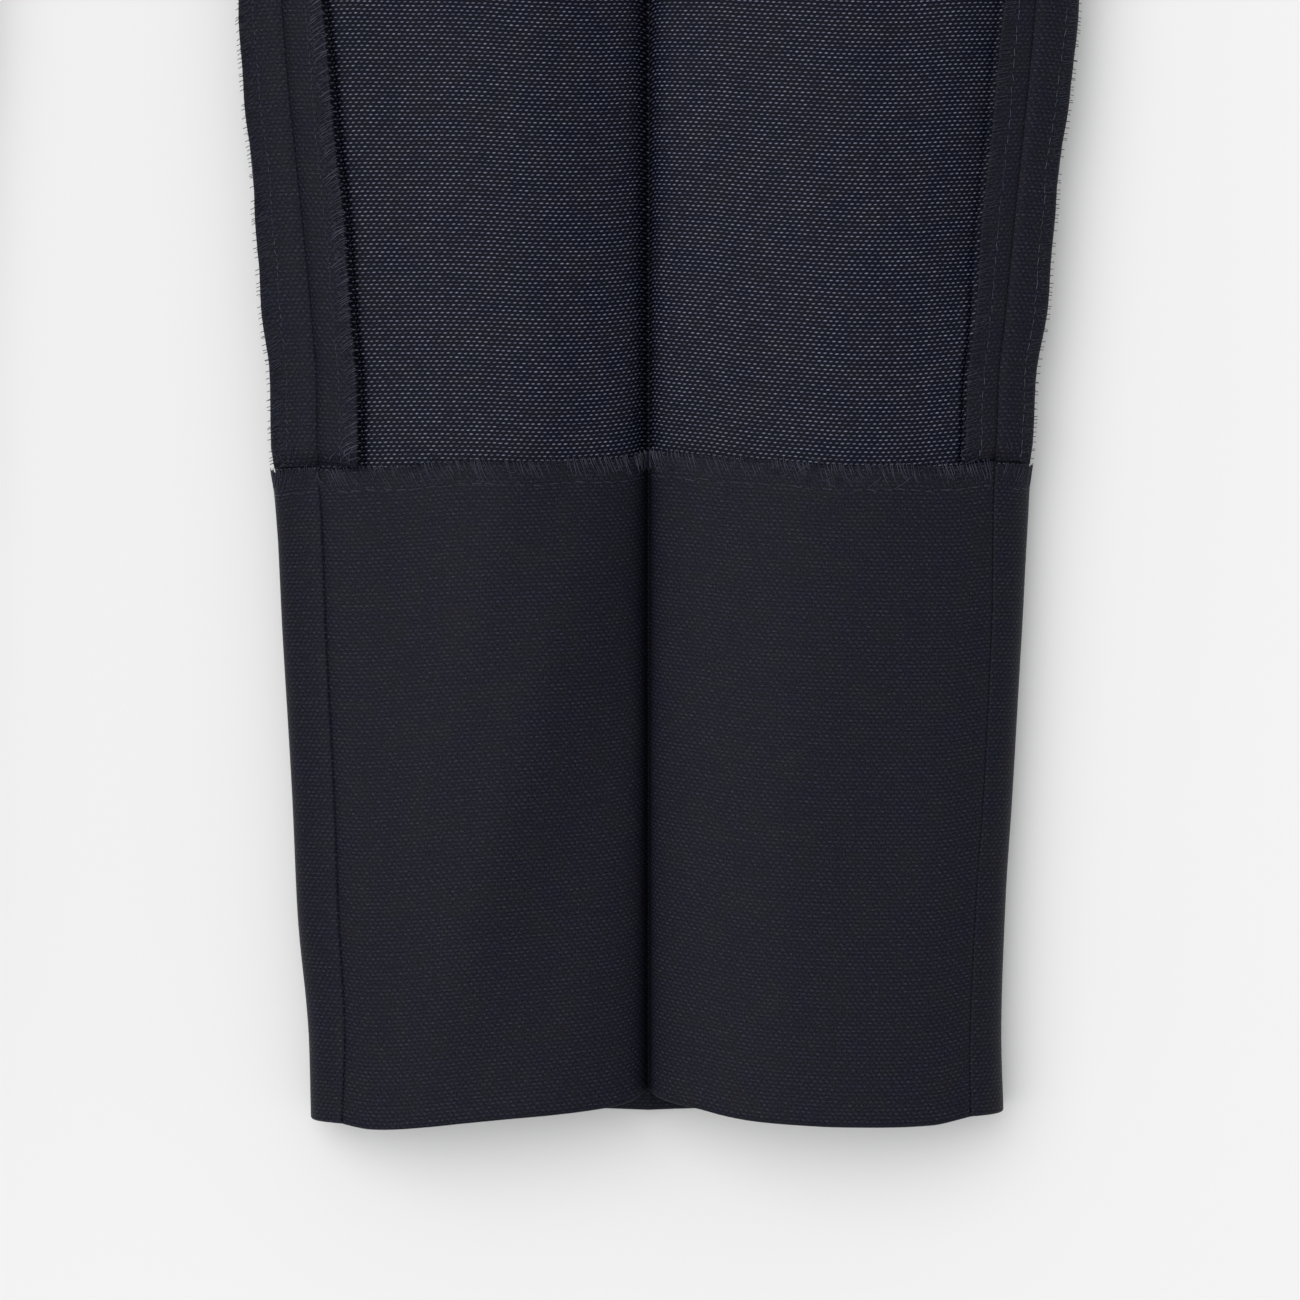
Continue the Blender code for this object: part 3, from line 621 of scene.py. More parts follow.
def make_panel(part, leg):
    """A whole front or back, from the waist seam down, round the hem fold and up the allowance."""
    patch = whole_patch(leg, part, panel_heights, across_half)
    column = panel_heights.reshape(-1, 1)
    bite = pressed_crease(patch, column) + pressed_print(patch, column) if part == "front" else 0.0
    blocks = [raised(patch, panel_heights, PANEL_OFFSET - bite, leg, part)]
    patterns = [weave_place(patch, panel_heights)]

    patch = whole_patch(leg, part, [HEM_FOLD], across_half)
    bite = pressed_crease(patch, HEM_FOLD) if part == "front" else 0.0
    for turn in np.linspace(0.0, math.pi, 8)[1:-1]:
        offset = PANEL_OFFSET + HEM_RADIUS * (1.0 - math.cos(turn)) - bite
        blocks.append(raised(patch, [HEM_FOLD], offset, leg, part, slide=-HEM_RADIUS * math.sin(turn)))
        patterns.append(weave_place(patch, [HEM_FOLD - HEM_RADIUS * turn], pull=1.0 - turn / math.pi))

    patch = whole_patch(leg, part, turn_up_heights, across_half)
    column = turn_up_heights.reshape(-1, 1)
    groove = 0.55 * hill(patch[5], 1.3)
    wander = edge_wobble(patch[4], leg)
    if part == "front":
        loose = 0.35 * smooth_step(column, 160.0, TURN_UP) * (1.0 + np.sin(patch[4] / 9.0))
        offset = TURN_UP_OFFSET - pressed_crease(patch, column) - groove + loose
    else:
        pinch = hill(patch[5] - 13.0, 7.0) * smooth_step(column, 160.0, TURN_UP)
        offset = TURN_UP_OFFSET - groove - np.where(patch[4] > 0.0, 0.4, 0.2) * pinch
        wander = wander - 0.5 * hill(patch[5] - 13.0, 5.0)
    heights = column + wander * smooth_step(column, 150.0, TURN_UP)
    turned_up[part, leg] = raised(patch, heights, offset, leg, part)
    blocks.append(turned_up[part, leg])
    unrolled = 2.0 * HEM_FOLD - math.pi * HEM_RADIUS - FULLNESS * turn_up_heights
    patterns.append(weave_place(patch, unrolled, pull=0.0))

    points, pattern = np.concatenate(blocks), np.concatenate(patterns)
    panel = cloth_grid(f"{part}_panel_{leg}", points, pattern, leg)
    return make_shell(panel, CLOTH, wrong_side, face_side, f"{part}_{leg}")


panels = {("front", leg): make_panel("front", leg) for leg in ("right", "left")}

# The backs. They are cut from the same cloth in the same way, wider than the fronts, and they come
# round both edges of the leg to the seams on top. Their own pressed crease stands up into the leg.
for leg in ("right", "left"):
    panels["back", leg] = make_panel("back", leg)

# The seam allowances, pressed open: two long strips at each outseam and inseam, and a short pair at
# the front rise. They are the panels' own raw edges and show the face of the cloth.
# A strip's thickness and how far it stands off the form, and the shares of its width of its columns
STRIP_CLOTH, STRIP_LIFT = 0.45, 1.15
STRIP_SHARES = np.array((0.004, 0.04, 0.10, 0.22, 0.4, 0.6, 0.8, 0.93, 1.0))
STRIP_END, INSEAM_TOP = TURN_UP + 0.9, 720.0
RISE_BOTTOM, RISE_TOP = 788.0, 811.7
FINER_BELOW = 330.0

# Each one's name, panel, side, lower and upper end, and the width and length it was cut to in metres
STRIPS = (
    ("outseam_front_allowance", "front", "outer", STRIP_END, WAIST_SEAM, (0.0100, 0.783)),
    ("outseam_back_allowance", "back", "outer", STRIP_END, WAIST_SEAM, (0.0120, 0.783)),
    ("inseam_front_allowance", "front", "inner", STRIP_END, INSEAM_TOP, (0.0120, 0.543)),
    ("inseam_back_allowance", "back", "inner", STRIP_END, INSEAM_TOP, (0.0122, 0.543)),
    ("rise_front_allowance", "front", "inner", RISE_BOTTOM, RISE_TOP, (0.0120, 0.024)),
)


def strip_patch(leg, part, side, heights):
    """A patch of cloth beside a seam, as wide as the allowance."""
    rows = []
    for s in heights:
        width = allowance_width(part, side, s)
        rows.append(cloth_patch(leg, part, side, [s], lambda full: full - width * STRIP_SHARES))
    return np.concatenate(rows, axis=1)


def strip_offset(name, part, leg, s):
    """The allowance dives into its seam, lies flat, and lifts unevenly along its raw edge."""
    shares = STRIP_SHARES
    phase = (1.3 if part == "front" else 4.1) + (0.0 if leg == "right" else 2.2)
    loose = 0.50 + 0.3 * np.sin(s / 23.0 + phase) + 0.2 * np.sin(s / 9.0 + 2.0 * phase)
    offset = STRIP_LIFT + 0.25 * smooth_step(shares, 0.0, 0.3) + loose * shares**2
    if name == "inseam_front_allowance":
        offset = offset + (1.1 + 0.4 * np.sin(s / 31.0)) * shares**3
    offset = offset - 0.75 * hill(shares, 0.10)
    over_turn_up = 1.0 - smooth_step(s, TURN_UP + 0.5, TURN_UP + 9.0)
    return offset + 0.35 * over_turn_up * smooth_step(shares, 0.1, 0.5)


def make_strip(name, leg, part, side, bottom, top):
    upper = np.arange(top, max(bottom + 3.0, FINER_BELOW), -7.0)
    heights = np.concatenate((upper, np.arange(min(top, FINER_BELOW), bottom + 3.0, -3.5), [bottom]))
    patch = strip_patch(leg, part, side, heights)
    points = raised(patch, heights, strip_offset(name, part, leg, heights.reshape(-1, 1)), leg, part)
    if bottom < INSEAM_TOP:
        uneven = edge_wobble(patch[4, -1], leg) + 0.2 * np.sin(7.0 * STRIP_SHARES + len(name))
        points[-1, :, 1] += (uneven - 0.5 * STRIP_SHARES**3) * MM
    pattern = weave_place(patch, heights)
    strip_points[name, leg] = points
    if (part == "front") == (side == "inner"):
        points, pattern = points[:, ::-1], pattern[:, ::-1]
    strip = cloth_grid(f"{name.replace('_allowance', '')}_strip_{leg}", points, pattern, leg)
    return make_shell(strip, STRIP_CLOTH, face_side, wrong_side, f"{name}_{leg}")


strips, strip_points = {}, {}
for leg in ("right", "left"):
    for name, part, side, bottom, top, _ in STRIPS:
        strips[name, leg] = make_strip(name, leg, part, side, bottom, top)

# The overlocking. A needle line runs some 5 mm in from each raw edge, and threads slant from it over
# the edge in uneven bunches. One stitch is made, and copies of it are laid along every edge.
# The thread's radius, how far in each needle line runs, and how far the threads stand off the middle
# of a strip's cloth and of the others'
THREAD = 0.11
INSEAM_NEEDLE, OUTSEAM_NEEDLE = 5.3, 4.5
ON_STRIP, ON_CLOTH = 0.24, 0.27


def take_mesh():
    """The points and faces of the object at hand, which is then deleted."""
    made = bpy.context.object.data
    points = np.array([vertex.co[:] for vertex in made.vertices])
    faces = [tuple(face.vertices) for face in made.polygons]
    bpy.ops.object.delete()
    return points, faces


bpy.ops.mesh.primitive_cylinder_add(vertices=3, radius=1.0, depth=1.0, end_fill_type="NGON")
bpy.ops.object.mode_set(mode="EDIT")
for height in (-0.25, 0.0, 0.25):
    bpy.ops.mesh.select_all(action="SELECT")
    bpy.ops.mesh.bisect(plane_co=(0.0, 0.0, height), plane_no=(0.0, 0.0, 1.0))
bpy.ops.object.mode_set(mode="OBJECT")
stitch_points, stitch_faces = take_mesh()


def lay_copies(name, places, faces, finish):
    """One piece of many copies of a small solid, given the points of each copy and the solid's faces."""
    starts = range(0, places.shape[0] * places.shape[1], places.shape[1])
    corners = [tuple(start + corner for corner in face) for start in starts for face in faces]
    mesh = bpy.data.meshes.new(name)
    mesh.from_pydata(places.reshape(-1, 3).tolist(), [], corners)
    made = bpy.data.objects.new(name, mesh)
    bpy.context.collection.objects.link(made)
    mesh.shade_smooth()
    mesh.materials.append(finish)
    settle(made)
    return made


def unit(vectors):
    return vectors / np.maximum(np.linalg.norm(vectors, axis=-1, keepdims=True), 1e-12)


def edge_band(points, up=True):
    """A band of cloth beside an edge. The rows of its points run inwards from the edge, and up says
    whether it faces up or down on the whole."""
    ahead, inwards = np.gradient(points, axis=1), np.gradient(points, axis=0)
    facing = unit(np.cross(ahead, inwards))
    flip = 1.0 if (facing[..., 2].sum() > 0.0) == up else -1.0
    length = np.linalg.norm(np.diff(points[0], axis=0), axis=1) / MM
    depth = np.linalg.norm(np.diff(points, axis=0), axis=2).mean(axis=1) / MM
    along, inward = (np.concatenate(([0.0], np.cumsum(steps))) for steps in (length, depth))
    return points, facing * flip, unit(inwards), along, inward, flip < 0.0


def lay_threads(name, band, ways, finish, thickness=THREAD):
    """Lays a stitch along each way on a band of cloth. A way is four points: how far along the edge,
    how far in from it and how far above the cloth, in millimetres."""
    points, facing, inwards, along, inward, left_handed = band
    share = (stitch_points[:, 2] + 0.5) * 3.0
    first = np.clip(np.floor(share).astype(int), 0, 2)
    rest = (share - first)[None, :, None]
    line = ways[:, first] * (1.0 - rest) + ways[:, first + 1] * rest
    ahead = unit(ways[:, first + 1, :2] - ways[:, first, :2])
    line[..., 0] -= ahead[..., 1] * stitch_points[:, 0] * thickness
    line[..., 1] += ahead[..., 0] * stitch_points[:, 0] * thickness
    line[..., 2] += stitch_points[:, 1] * thickness
    column = np.interp(line[..., 0], along, np.arange(len(along)))
    row = np.interp(line[..., 1], inward, np.arange(len(inward)))
    left = np.clip(np.floor(column).astype(int), 0, len(along) - 2)
    low = np.clip(np.floor(row).astype(int), 0, len(inward) - 2)
    over, up = (column - left)[..., None], (row - low)[..., None]

    def found(grid):
        near, far = (grid[at, left] * (1.0 - over) + grid[at, left + 1] * over for at in (low, low + 1))
        return near * (1.0 - up) + far * up

    past_edge = np.minimum(line[..., 1:2], 0.0)
    placed = found(points) + (found(facing) * line[..., 2:3] + found(inwards) * past_edge) * MM
    faces = [face[::-1] for face in stitch_faces] if left_handed else stitch_faces
    return lay_copies(name, placed, faces, finish)


def thread_material(name, light, dark):
    """Soft spun thread whose tone changes from one bunch of stitches to the next."""
    made, tree, surface = start_material(name, 0.62, 0.25)
    place = add_node(tree, "TexCoord", {})["Object"]
    patches = ranged(tree, noise(tree, place, 240.0, 2.0), 0.34, 0.62)
    feed(tree, surface["Base Color"], mixed(tree, patches, dark, light))
    return made


overlock_thread = thread_material("overlock_thread", (0.076, 0.083, 0.118), (0.018, 0.021, 0.036))
edge_thread = thread_material("turn_up_thread", (0.050, 0.055, 0.081), (0.010, 0.012, 0.022))
# The same overlock thread made darker, as painted shade: it dims the threads that catch the light on the
# backs' turn-ups and on every seam allowance but the front inseam's.
painted_shade_thread = thread_material("painted_shade_overlock_thread", (0.033, 0.037, 0.056), (0.011, 0.013, 0.024))
needle_thread = thread_material("needle_thread", (0.062, 0.068, 0.098), (0.024, 0.027, 0.042))


def ways_through(points):
    """Ways through four points, each of them the distances of all the ways there."""
    return np.stack([np.stack(np.broadcast_arrays(*point), axis=1) for point in points], axis=1)


def slanting(length, reach, lean, pitch, chance, deepest=1.0, over=0.32, past=(0.3, 1.6)):
    """Ways of slanting threads from the needle line over the edge, some missing or hidden."""
    along = np.arange(1.0, length - 1.0, pitch)
    along = along + chance.uniform(-0.35, 0.35, len(along)) * pitch
    along = along[chance.uniform(size=len(along)) > 0.16]
    count = len(along)
    depth = reach * chance.uniform(0.62, deepest, count)
    leaning = lean * chance.uniform(0.65, 1.3, count) * depth / reach
    bowed = chance.uniform(-0.4, 0.4, count)
    proud = chance.uniform(0.02, 0.22, count)
    ends = over * chance.uniform(*past, count)
    return ways_through(
        (
            (along, depth, -0.04),
            (along + 0.38 * leaning + bowed, 0.62 * depth, 0.06 + proud),
            (along + 0.85 * leaning, 0.14 * depth, 0.08 + proud),
            (along + leaning, -ends, -0.20 + 0.5 * proud),
        )
    )


def needle_line(length, inset, dash, pitch, chance, wander=0.25):
    """Ways of the long dashes of a needle thread, each a little askew."""
    along = np.arange(1.0, length - pitch, pitch)
    along = along + chance.uniform(-0.1, 0.1, len(along)) * pitch
    long = dash * chance.uniform(0.75, 1.1, len(along))
    inset = inset + 0.3 * np.sin(along / 37.0)
    start = inset + chance.uniform(-wander, wander, len(along))
    end = inset + chance.uniform(-wander, wander, len(along)) - 0.2
    heights = ((0.0, -0.12), (0.12, 0.06), (0.88, 0.06), (1.0, -0.12))
    return ways_through((along + long * share, start + (end - start) * share, up) for share, up in heights)


def stray(length, reach, count, chance):
    """Ways of loose thread ends that lie about an edge in shallow arcs."""
    along = chance.uniform(3.0, length - 12.0, count)
    turn = chance.uniform(-0.9, 0.9, count)
    long = chance.uniform(2.5, 5.0, count)
    start = chance.uniform(-0.6, reach, count)
    bend = chance.uniform(-1.6, 1.6, count)
    points = []
    for share, hump in ((0.0, 0.0), (0.33, 0.9), (0.66, 0.8), (1.0, 0.0)):
        inward = np.maximum(start + turn * long * share + bend * hump, -1.3)
        points.append((along + long * share, inward, 0.12 + 0.3 * hump))
    return ways_through(points)


def overlock(name, band, ways, dashes, thread, lift):
    """Lays the slanting threads and the needle line of an overlocked edge. {} in name is the kind."""
    laid = (("overlock", np.concatenate(ways), thread), ("needle_line", dashes, needle_thread))
    return [
        lay_threads(name.format(kind), band, threads + (0.0, 0.0, lift), finish)
        for kind, threads, finish in laid
    ]


for leg in ("right", "left"):
    for name, part, _, _, _, cut in STRIPS:
        band = edge_band(strip_points[name, leg][::-1].transpose(1, 0, 2)[::-1])
        length = band[3][-1]
        chance = np.random.default_rng(sum(name.encode()) + (0 if leg == "right" else 7))
        inset, dash, pitch, lean = (OUTSEAM_NEEDLE, 2.5, 3.3, 1.3)
        if "outseam" not in name:
            inset, dash, pitch, lean = (INSEAM_NEEDLE, 1.3, 2.2, 2.9)
        lean *= 1.0 if "inseam_front" in name or "outseam_back" in name else -1.0
        over, past = (1.6, (0.85, 1.15)) if part == "back" else (0.4, (0.3, 1.6))
        ways = [slanting(length, inset, lean, 1.3, chance, over=over, past=past)]
        ways.append(slanting(length, inset, 0.8 * lean, 1.7, chance, deepest=0.8, over=0.4))
        if "rise" not in name:
            ways.append(stray(18.0, 9.0, 3, chance) - (2.5, 0.0, 0.0))
        dashes = needle_line(length, inset, dash, pitch, chance)
        # Every seam's overlocking but the front inseam's takes the darker thread, which is painted shade.
        thread = overlock_thread if name == "inseam_front_allowance" else painted_shade_thread
        title = name.replace("allowance", f"{{}}_{leg}")
        sewn = overlock(title, band, ways, dashes, thread, ON_STRIP)

# The overlocking of the turned-up allowances' top edges, deeper, steeper and more ragged than the
# seams', with loose ends.
TURN_UP_NEEDLE = 6.4
for (part, leg), points in turned_up.items():
    near_edge = points[::-1][:9]
    if leg == "left":
        near_edge = near_edge[:, ::-1]
    band = edge_band(near_edge, up=part == "front")
    length = band[3][-1]
    chance = np.random.default_rng(5 if part == "front" else 9)
    side = 1.0 if (part == "front") == (leg == "right") else -1.0
    full = slanting(length, 0.93 * TURN_UP_NEEDLE, 2.6 * side, 0.95, chance, over=0.55)
    short = slanting(length, 3.6, 1.5 * side, 1.4, chance, over=0.9)
    ends = stray(length, 5.0, 26, chance)
    dashes = needle_line(length, TURN_UP_NEEDLE, 2.7, 4.1, chance, wander=0.35)
    proud = (1.0, 1.0, 1.0 if part == "front" else 0.4)
    ways = [threads * proud for threads in (full, short, ends)]
    # The backs' overlocking takes the darker thread, which is painted shade.
    thread = edge_thread if part == "front" else painted_shade_thread
    sewn = overlock(f"turn_up_{part}_{{}}_{leg}", band, ways, dashes, thread, ON_CLOTH)

# The pocket bags: two layers of plain dark pocketing that hang from the waistband on each front, with
# an overlocked edge round the bottom. They are caught in the outseam.
# Its thickness, how far it ends from the outseam and from the crease, and the height of its ends
BAG_CLOTH, BAG_INSET, BAG_FROM_CREASE = 0.5, 12.6, 22.0
BAG_TOP, BAG_BOTTOM, BAG_CORNER = 959.6, 700.0, 34.0
# Each crease of a bag: how high it lies, its place across, its lean, its half width and its depth
BAG_FOLDS = (
    (905, 0.35, 0.25, 5.0, 1.1),
    (850, 0.62, -0.35, 6.0, 1.2),
    (790, 0.30, 0.45, 5.0, 1.0),
    (745, 0.65, 0.1, 7.0, 0.9),
)

pocketing, tree, surface = start_material("pocketing", 0.6, 0.10)
place = add_node(tree, "UVMap", {}, uv_map="weave")["UV"]
fine = add_node(tree, "Mapping", {"Vector": place, "Scale": (420.0, 2200.0, 1.0)})["Vector"]
threads = noise(tree, fine, 1.0, 2.0)
feed(tree, surface["Base Color"], mixed(tree, threads, (0.004, 0.005, 0.010), (0.014, 0.016, 0.026)))
bump = add_node(tree, "Bump", {"Distance": 0.0001, "Strength": 0.5, "Height": threads})["Normal"]
feed(tree, surface["Normal"], bump)


def make_pocket_bag(leg):
    """A bag from the waistband down, its bottom corners rounded, bellied a little between its edges."""
    shares = np.linspace(0.0, 1.0, 31)
    bottom = BAG_BOTTOM + BAG_CORNER * np.abs(2.0 * shares - 1.0) ** 4 + 2.0 * (1.0 - shares)
    downs = np.linspace(0.0, 1.0, 70).reshape(-1, 1)
    heights = BAG_TOP + (bottom - BAG_TOP) * downs

    # The bag's rows follow its rounded bottom, so they are found between level rows
    levels = np.linspace(BAG_BOTTOM - 2.0, BAG_TOP, 80)
    patch = cloth_patch(
        leg, "front", "outer", levels,
        lambda full: BAG_FROM_CREASE + (full - BAG_INSET - BAG_FROM_CREASE) * shares,
    )
    rows = np.interp(heights, levels, np.arange(len(levels)))
    low = np.clip(np.floor(rows).astype(int), 0, len(levels) - 2)
    rest = rows - low
    column = np.broadcast_to(np.arange(len(shares)), rows.shape)
    bag = patch[:, low, column] * (1.0 - rest) + patch[:, low + 1, column] * rest

    rim = np.minimum(np.minimum(shares, 1.0 - shares) * 60.0, (1.0 - downs) * 200.0)
    inside = smooth_step(rim, 4.0, 20.0)
    belly = 0.75 + 0.75 * smooth_step(rim, 0.0, 9.0) + 0.3 * np.sin(heights / 21.0 + shares * 5.0) * inside
    for height, across, lean, half_width, depth in BAG_FOLDS:
        up = heights - height
        off = (shares - across) * 72.0 - lean * up
        belly = belly + depth * inside * hill(off, half_width) * hill(up, 55.0)
    bag_points[leg] = raised(bag, heights, 0.5 + belly, leg, "front")
    pattern = np.stack((bag[4], heights), axis=2) * MM
    made = cloth_grid(f"pocket_bag_cloth_{leg}", bag_points[leg][:, ::-1], pattern[:, ::-1], leg)
    return make_shell(made, BAG_CLOTH, pocketing, pocketing, f"pocket_bag_{leg}")


bag_points = {}
pocket_bags = {leg: make_pocket_bag(leg) for leg in ("right", "left")}

# The waistband: two halves of the suiting over a firm inner layer, joined at the centre back and
# topstitched along both edges. The right half runs on past the centre front as the underlap.
# Its thickness and how far its middle stands off the form, and the underlap's length and rise
BAND = 1.7
BAND_OFFSET = 1.0 - 0.5 * BAND
EXTENSION, EXTENSION_RISE = 33.5, 2.3
# The band's rows, and how far its rolled edges stand in and its middle out there
BAND_HEIGHTS = np.array((960.3, 960.7, 962.0, 966.0, 973.0, 980.0, 987.0, 994.0, 998.0, 999.5, 1000.0))
BAND_ROLL = np.array((-0.55, -0.18, 0.0, 0.05, 0.12, 0.15, 0.12, 0.05, 0.0, -0.18, -0.55)).reshape(-1, 1)
# Its columns over the back, and the row along its middle
BACK_COLUMNS, MIDDLE_ROW = 48, 5


def square_pattern(across, heights):
    """The place in the weave of a piece that is cut square."""
    return np.stack(np.meshgrid(across, heights), axis=2) * MM


def make_waistband(leg):
    """Half a waistband, from the centre back round the side to the centre front."""
    back, front = (
        whole_patch(leg, part, BAND_HEIGHTS, lambda full: full * np.linspace(0.0, 1.0, 25), thick=2.0)
        for part in ("back", "front")
    )
    offset = BAND_OFFSET + BAND_ROLL
    rows_back = raised(back, BAND_HEIGHTS, offset, leg, "back", lowest=0.5 * BAND + 0.1)
    rows_front = raised(front, BAND_HEIGHTS, offset, leg, "front")
    points = np.concatenate((rows_back[:, :-1], rows_front[:, 1:]), axis=1)
    if leg == "right":
        over = raised(front, BAND_HEIGHTS, offset + EXTENSION_RISE, leg, "front")
        distance = front[5][MIDDLE_ROW]
        tail = (distance > 0.0) & (distance < EXTENSION) & (front[4][MIDDLE_ROW] < 0.0)
        mirrored = over[:, tail][:, ::-1] * (-1.0, 1.0, 1.0)
        end = mirrored[:, -1:].copy()
        end[:, :, 0] = -EXTENSION * MM
        ramp = over[:, -1:].copy()
        ramp[:, :, 0] = 3.2 * MM
        points = np.concatenate((points[:, :-2], ramp, mirrored, end), axis=1)
    steps = np.linalg.norm(np.diff(points[MIDDLE_ROW], axis=0), axis=1)
    pattern = square_pattern(np.concatenate(([0.0], np.cumsum(steps))) / MM, BAND_HEIGHTS)
    band_points[leg] = points[::-1]
    made = cloth_grid(f"waistband_cloth_{leg}", points[::-1], pattern[::-1], leg)
    return make_shell(made, BAND, face_side, face_side, f"waistband_{leg}")


band_points = {}
waistbands = {leg: make_waistband(leg) for leg in ("right", "left")}

# The fly. The zip is sewn to the backs of the fronts and lies under its shield, a doubled strip of the
# suiting that runs from the waistband down over both sides of the zip.
fly_rows = np.append(np.arange(959.6, 814.0, -3.0), 812.4)


def across_fly(heights, distances, offsets):
    """Points across the centre front: negative distances lie on the left front."""
    rows = []
    for s, offset_row in zip(heights, offsets):
        sides = []
        for leg, chosen in (("left", distances < 0.0), ("right", distances >= 0.0)):
            off_centre = np.abs(distances[chosen])
            order = np.argsort(-off_centre)
            patch = cloth_patch(leg, "front", "inner", [s], lambda full: full - off_centre[order])
            patch[4] *= -1.0
            offset = np.asarray(offset_row)[chosen][None]
            points = raised(patch[:, :, np.argsort(order)], [s], offset, leg, "front")[0]
            points[:, 0] = distances[chosen] * MM
            sides.append(points)
        rows.append(np.concatenate(sides))
    return np.array(rows)


def make_fly_piece(name, columns, offsets, thickness, finish, node):
    """A strip of cloth that lies down the fly, and its points."""
    points = across_fly(fly_rows, columns, offsets)
    pattern = square_pattern(columns, fly_rows)
    made = cloth_grid(name, points[:, ::-1], pattern[:, ::-1], "right")
    return make_shell(made, thickness, finish, finish, node), points


# Two woven tapes, and between them the chain of one spiral of nylon a side.
zip_cloth, tree, surface = start_material("zip_tape_weave", 0.7, 0.2)
place = add_node(tree, "UVMap", {}, uv_map="weave")["UV"]
ribs = add_node(tree, "TexWave", {"Vector": place, "Scale": 260.0, "Distortion": 0.6})["Fac"]
feed(tree, surface["Base Color"], mixed(tree, ribs, (0.006, 0.006, 0.010), (0.017, 0.018, 0.026)))
ZIP_CLOTH, ZIP_HALF_WIDTH = 0.42, 12.0
columns = np.concatenate((np.linspace(-ZIP_HALF_WIDTH, -0.25, 12), np.linspace(0.25, ZIP_HALF_WIDTH, 12)))
offsets = np.broadcast_to(1.02 + 0.04 * np.sin(columns * 1.1), (len(fly_rows), len(columns)))
zip_tapes, _ = make_fly_piece("zip_tapes", columns, offsets, ZIP_CLOTH, zip_cloth, "zip_tape")

CHAIN_PITCH, CHAIN_LIFT = 1.3, 1.75
CHAIN_CENTRE = np.array((-0.5, 0.5))
bpy.ops.mesh.primitive_uv_sphere_add(segments=8, ring_count=5, radius=1.0)
turn_points, turn_faces = take_mesh()
turn_points = turn_points * (1.75, 0.52, 0.72)
chain_rows = np.arange(958.0, 814.0, -CHAIN_PITCH)
chain_middle = across_fly(chain_rows, CHAIN_CENTRE, np.full((len(chain_rows), 2), CHAIN_LIFT)).mean(axis=1)
turns = [
    middle + (turn_points + (side * 1.05, -shift * CHAIN_PITCH, 0.0)) * MM
    for middle in chain_middle
    for side, shift in ((-1.0, 0.0), (1.0, 0.5))
]
nylon, tree, surface = start_material("zip_nylon", 0.38)
feed(tree, surface["Base Color"], (0.012, 0.013, 0.019, 1.0))
zip_chain = lay_copies("zip_chain", np.array(turns), turn_faces, nylon)

# The slider: two die-cast plates round the chain, and a flat pull tab that lies down the zip.
slider_metal, tree, surface = start_material("satin_nickel", 0.34)
feed(tree, surface["Base Color"], (0.30, 0.28, 0.25, 1.0))
feed(tree, surface["Metallic"], 1.0)
slider_foot, slider_head = across_fly([921.5, 945.0], CHAIN_CENTRE, [[2.7, 2.7]] * 2).mean(axis=1)
slider_slope = math.atan2(slider_head[2] - slider_foot[2], slider_head[1] - slider_foot[1])


def round_edges(piece, width, segments, angle):
    """Rounds the edges of a piece that are sharper than an angle in degrees."""
    rounding = piece.modifiers.new("rounding", "BEVEL")
    rounding.width = width * MM
    rounding.segments = segments
    rounding.angle_limit = math.radians(angle)
    bpy.ops.object.modifier_apply(modifier="rounding")


def slider_piece(name, start, end, half_width, low, high, waist):
    """A rounded plate along the zip from start to end, narrowed at its middle to a share of its width."""
    bpy.ops.mesh.primitive_grid_add(x_subdivisions=6, y_subdivisions=12, size=1.0)
    plate = bpy.context.object
    plate.name = plate.data.name = name
    for vertex in plate.data.vertices:
        along, over = vertex.co[1] * 2.0, vertex.co[0] * 2.0
        narrow = waist + (1.0 - waist) * along * along
        ends = math.sqrt(max(0.0, 1.0 - 0.55 * over * over)) if abs(along) > 0.99 else 1.0
        vertex.co = (
            over * half_width * narrow * MM,
            (0.5 * (start + end) + 0.5 * (end - start) * along * ends) * MM,
            low * MM,
        )
    bpy.ops.object.mode_set(mode="EDIT")
    bpy.ops.mesh.select_all(action="SELECT")
    rise = (0.0, 0.0, (high - low) * MM)
    bpy.ops.mesh.extrude_region_move(TRANSFORM_OT_translate={"value": rise})
    bpy.ops.mesh.select_all(action="SELECT")
    bpy.ops.mesh.normals_make_consistent(inside=False)
    bpy.ops.object.mode_set(mode="OBJECT")
    round_edges(plate, 0.22, 2, 50.0)
    bpy.ops.object.shade_smooth()
    return plate


slider_parts = (
    slider_piece("slider_top", 12.0, 23.5, 3.7, 0.75, 1.45, 0.8),
    slider_piece("slider_bottom", 13.0, 22.5, 3.2, 0.0, 0.55, 0.8),
    slider_piece("slider_post", 18.5, 22.5, 1.1, 0.3, 1.1, 1.0),
    slider_piece("slider_tab", 0.2, 15.0, 2.3, 1.5, 2.1, 0.72),
)
bpy.ops.object.select_all(action="DESELECT")
for plate in slider_parts:
    plate.select_set(True)
slider = slider_parts[0]
bpy.context.view_layer.objects.active = slider
bpy.ops.object.join()
slider.name = slider.data.name = "slider_and_tab"
slider.rotation_euler = (slider_slope, 0.0, 0.0)
slider.location = slider_foot
bpy.ops.object.transform_apply(location=True, rotation=True, scale=False)
slider.data.materials.append(slider_metal)
settle(slider, "zip_slider")
bpy.ops.object.select_all(action="DESELECT")

# The shield that covers the zip, its side edges turned in and stitched, its lower end overlocked.
SHIELD_CLOTH, SHIELD_LEFT, SHIELD_RIGHT = 0.9, 34.0, 12.0
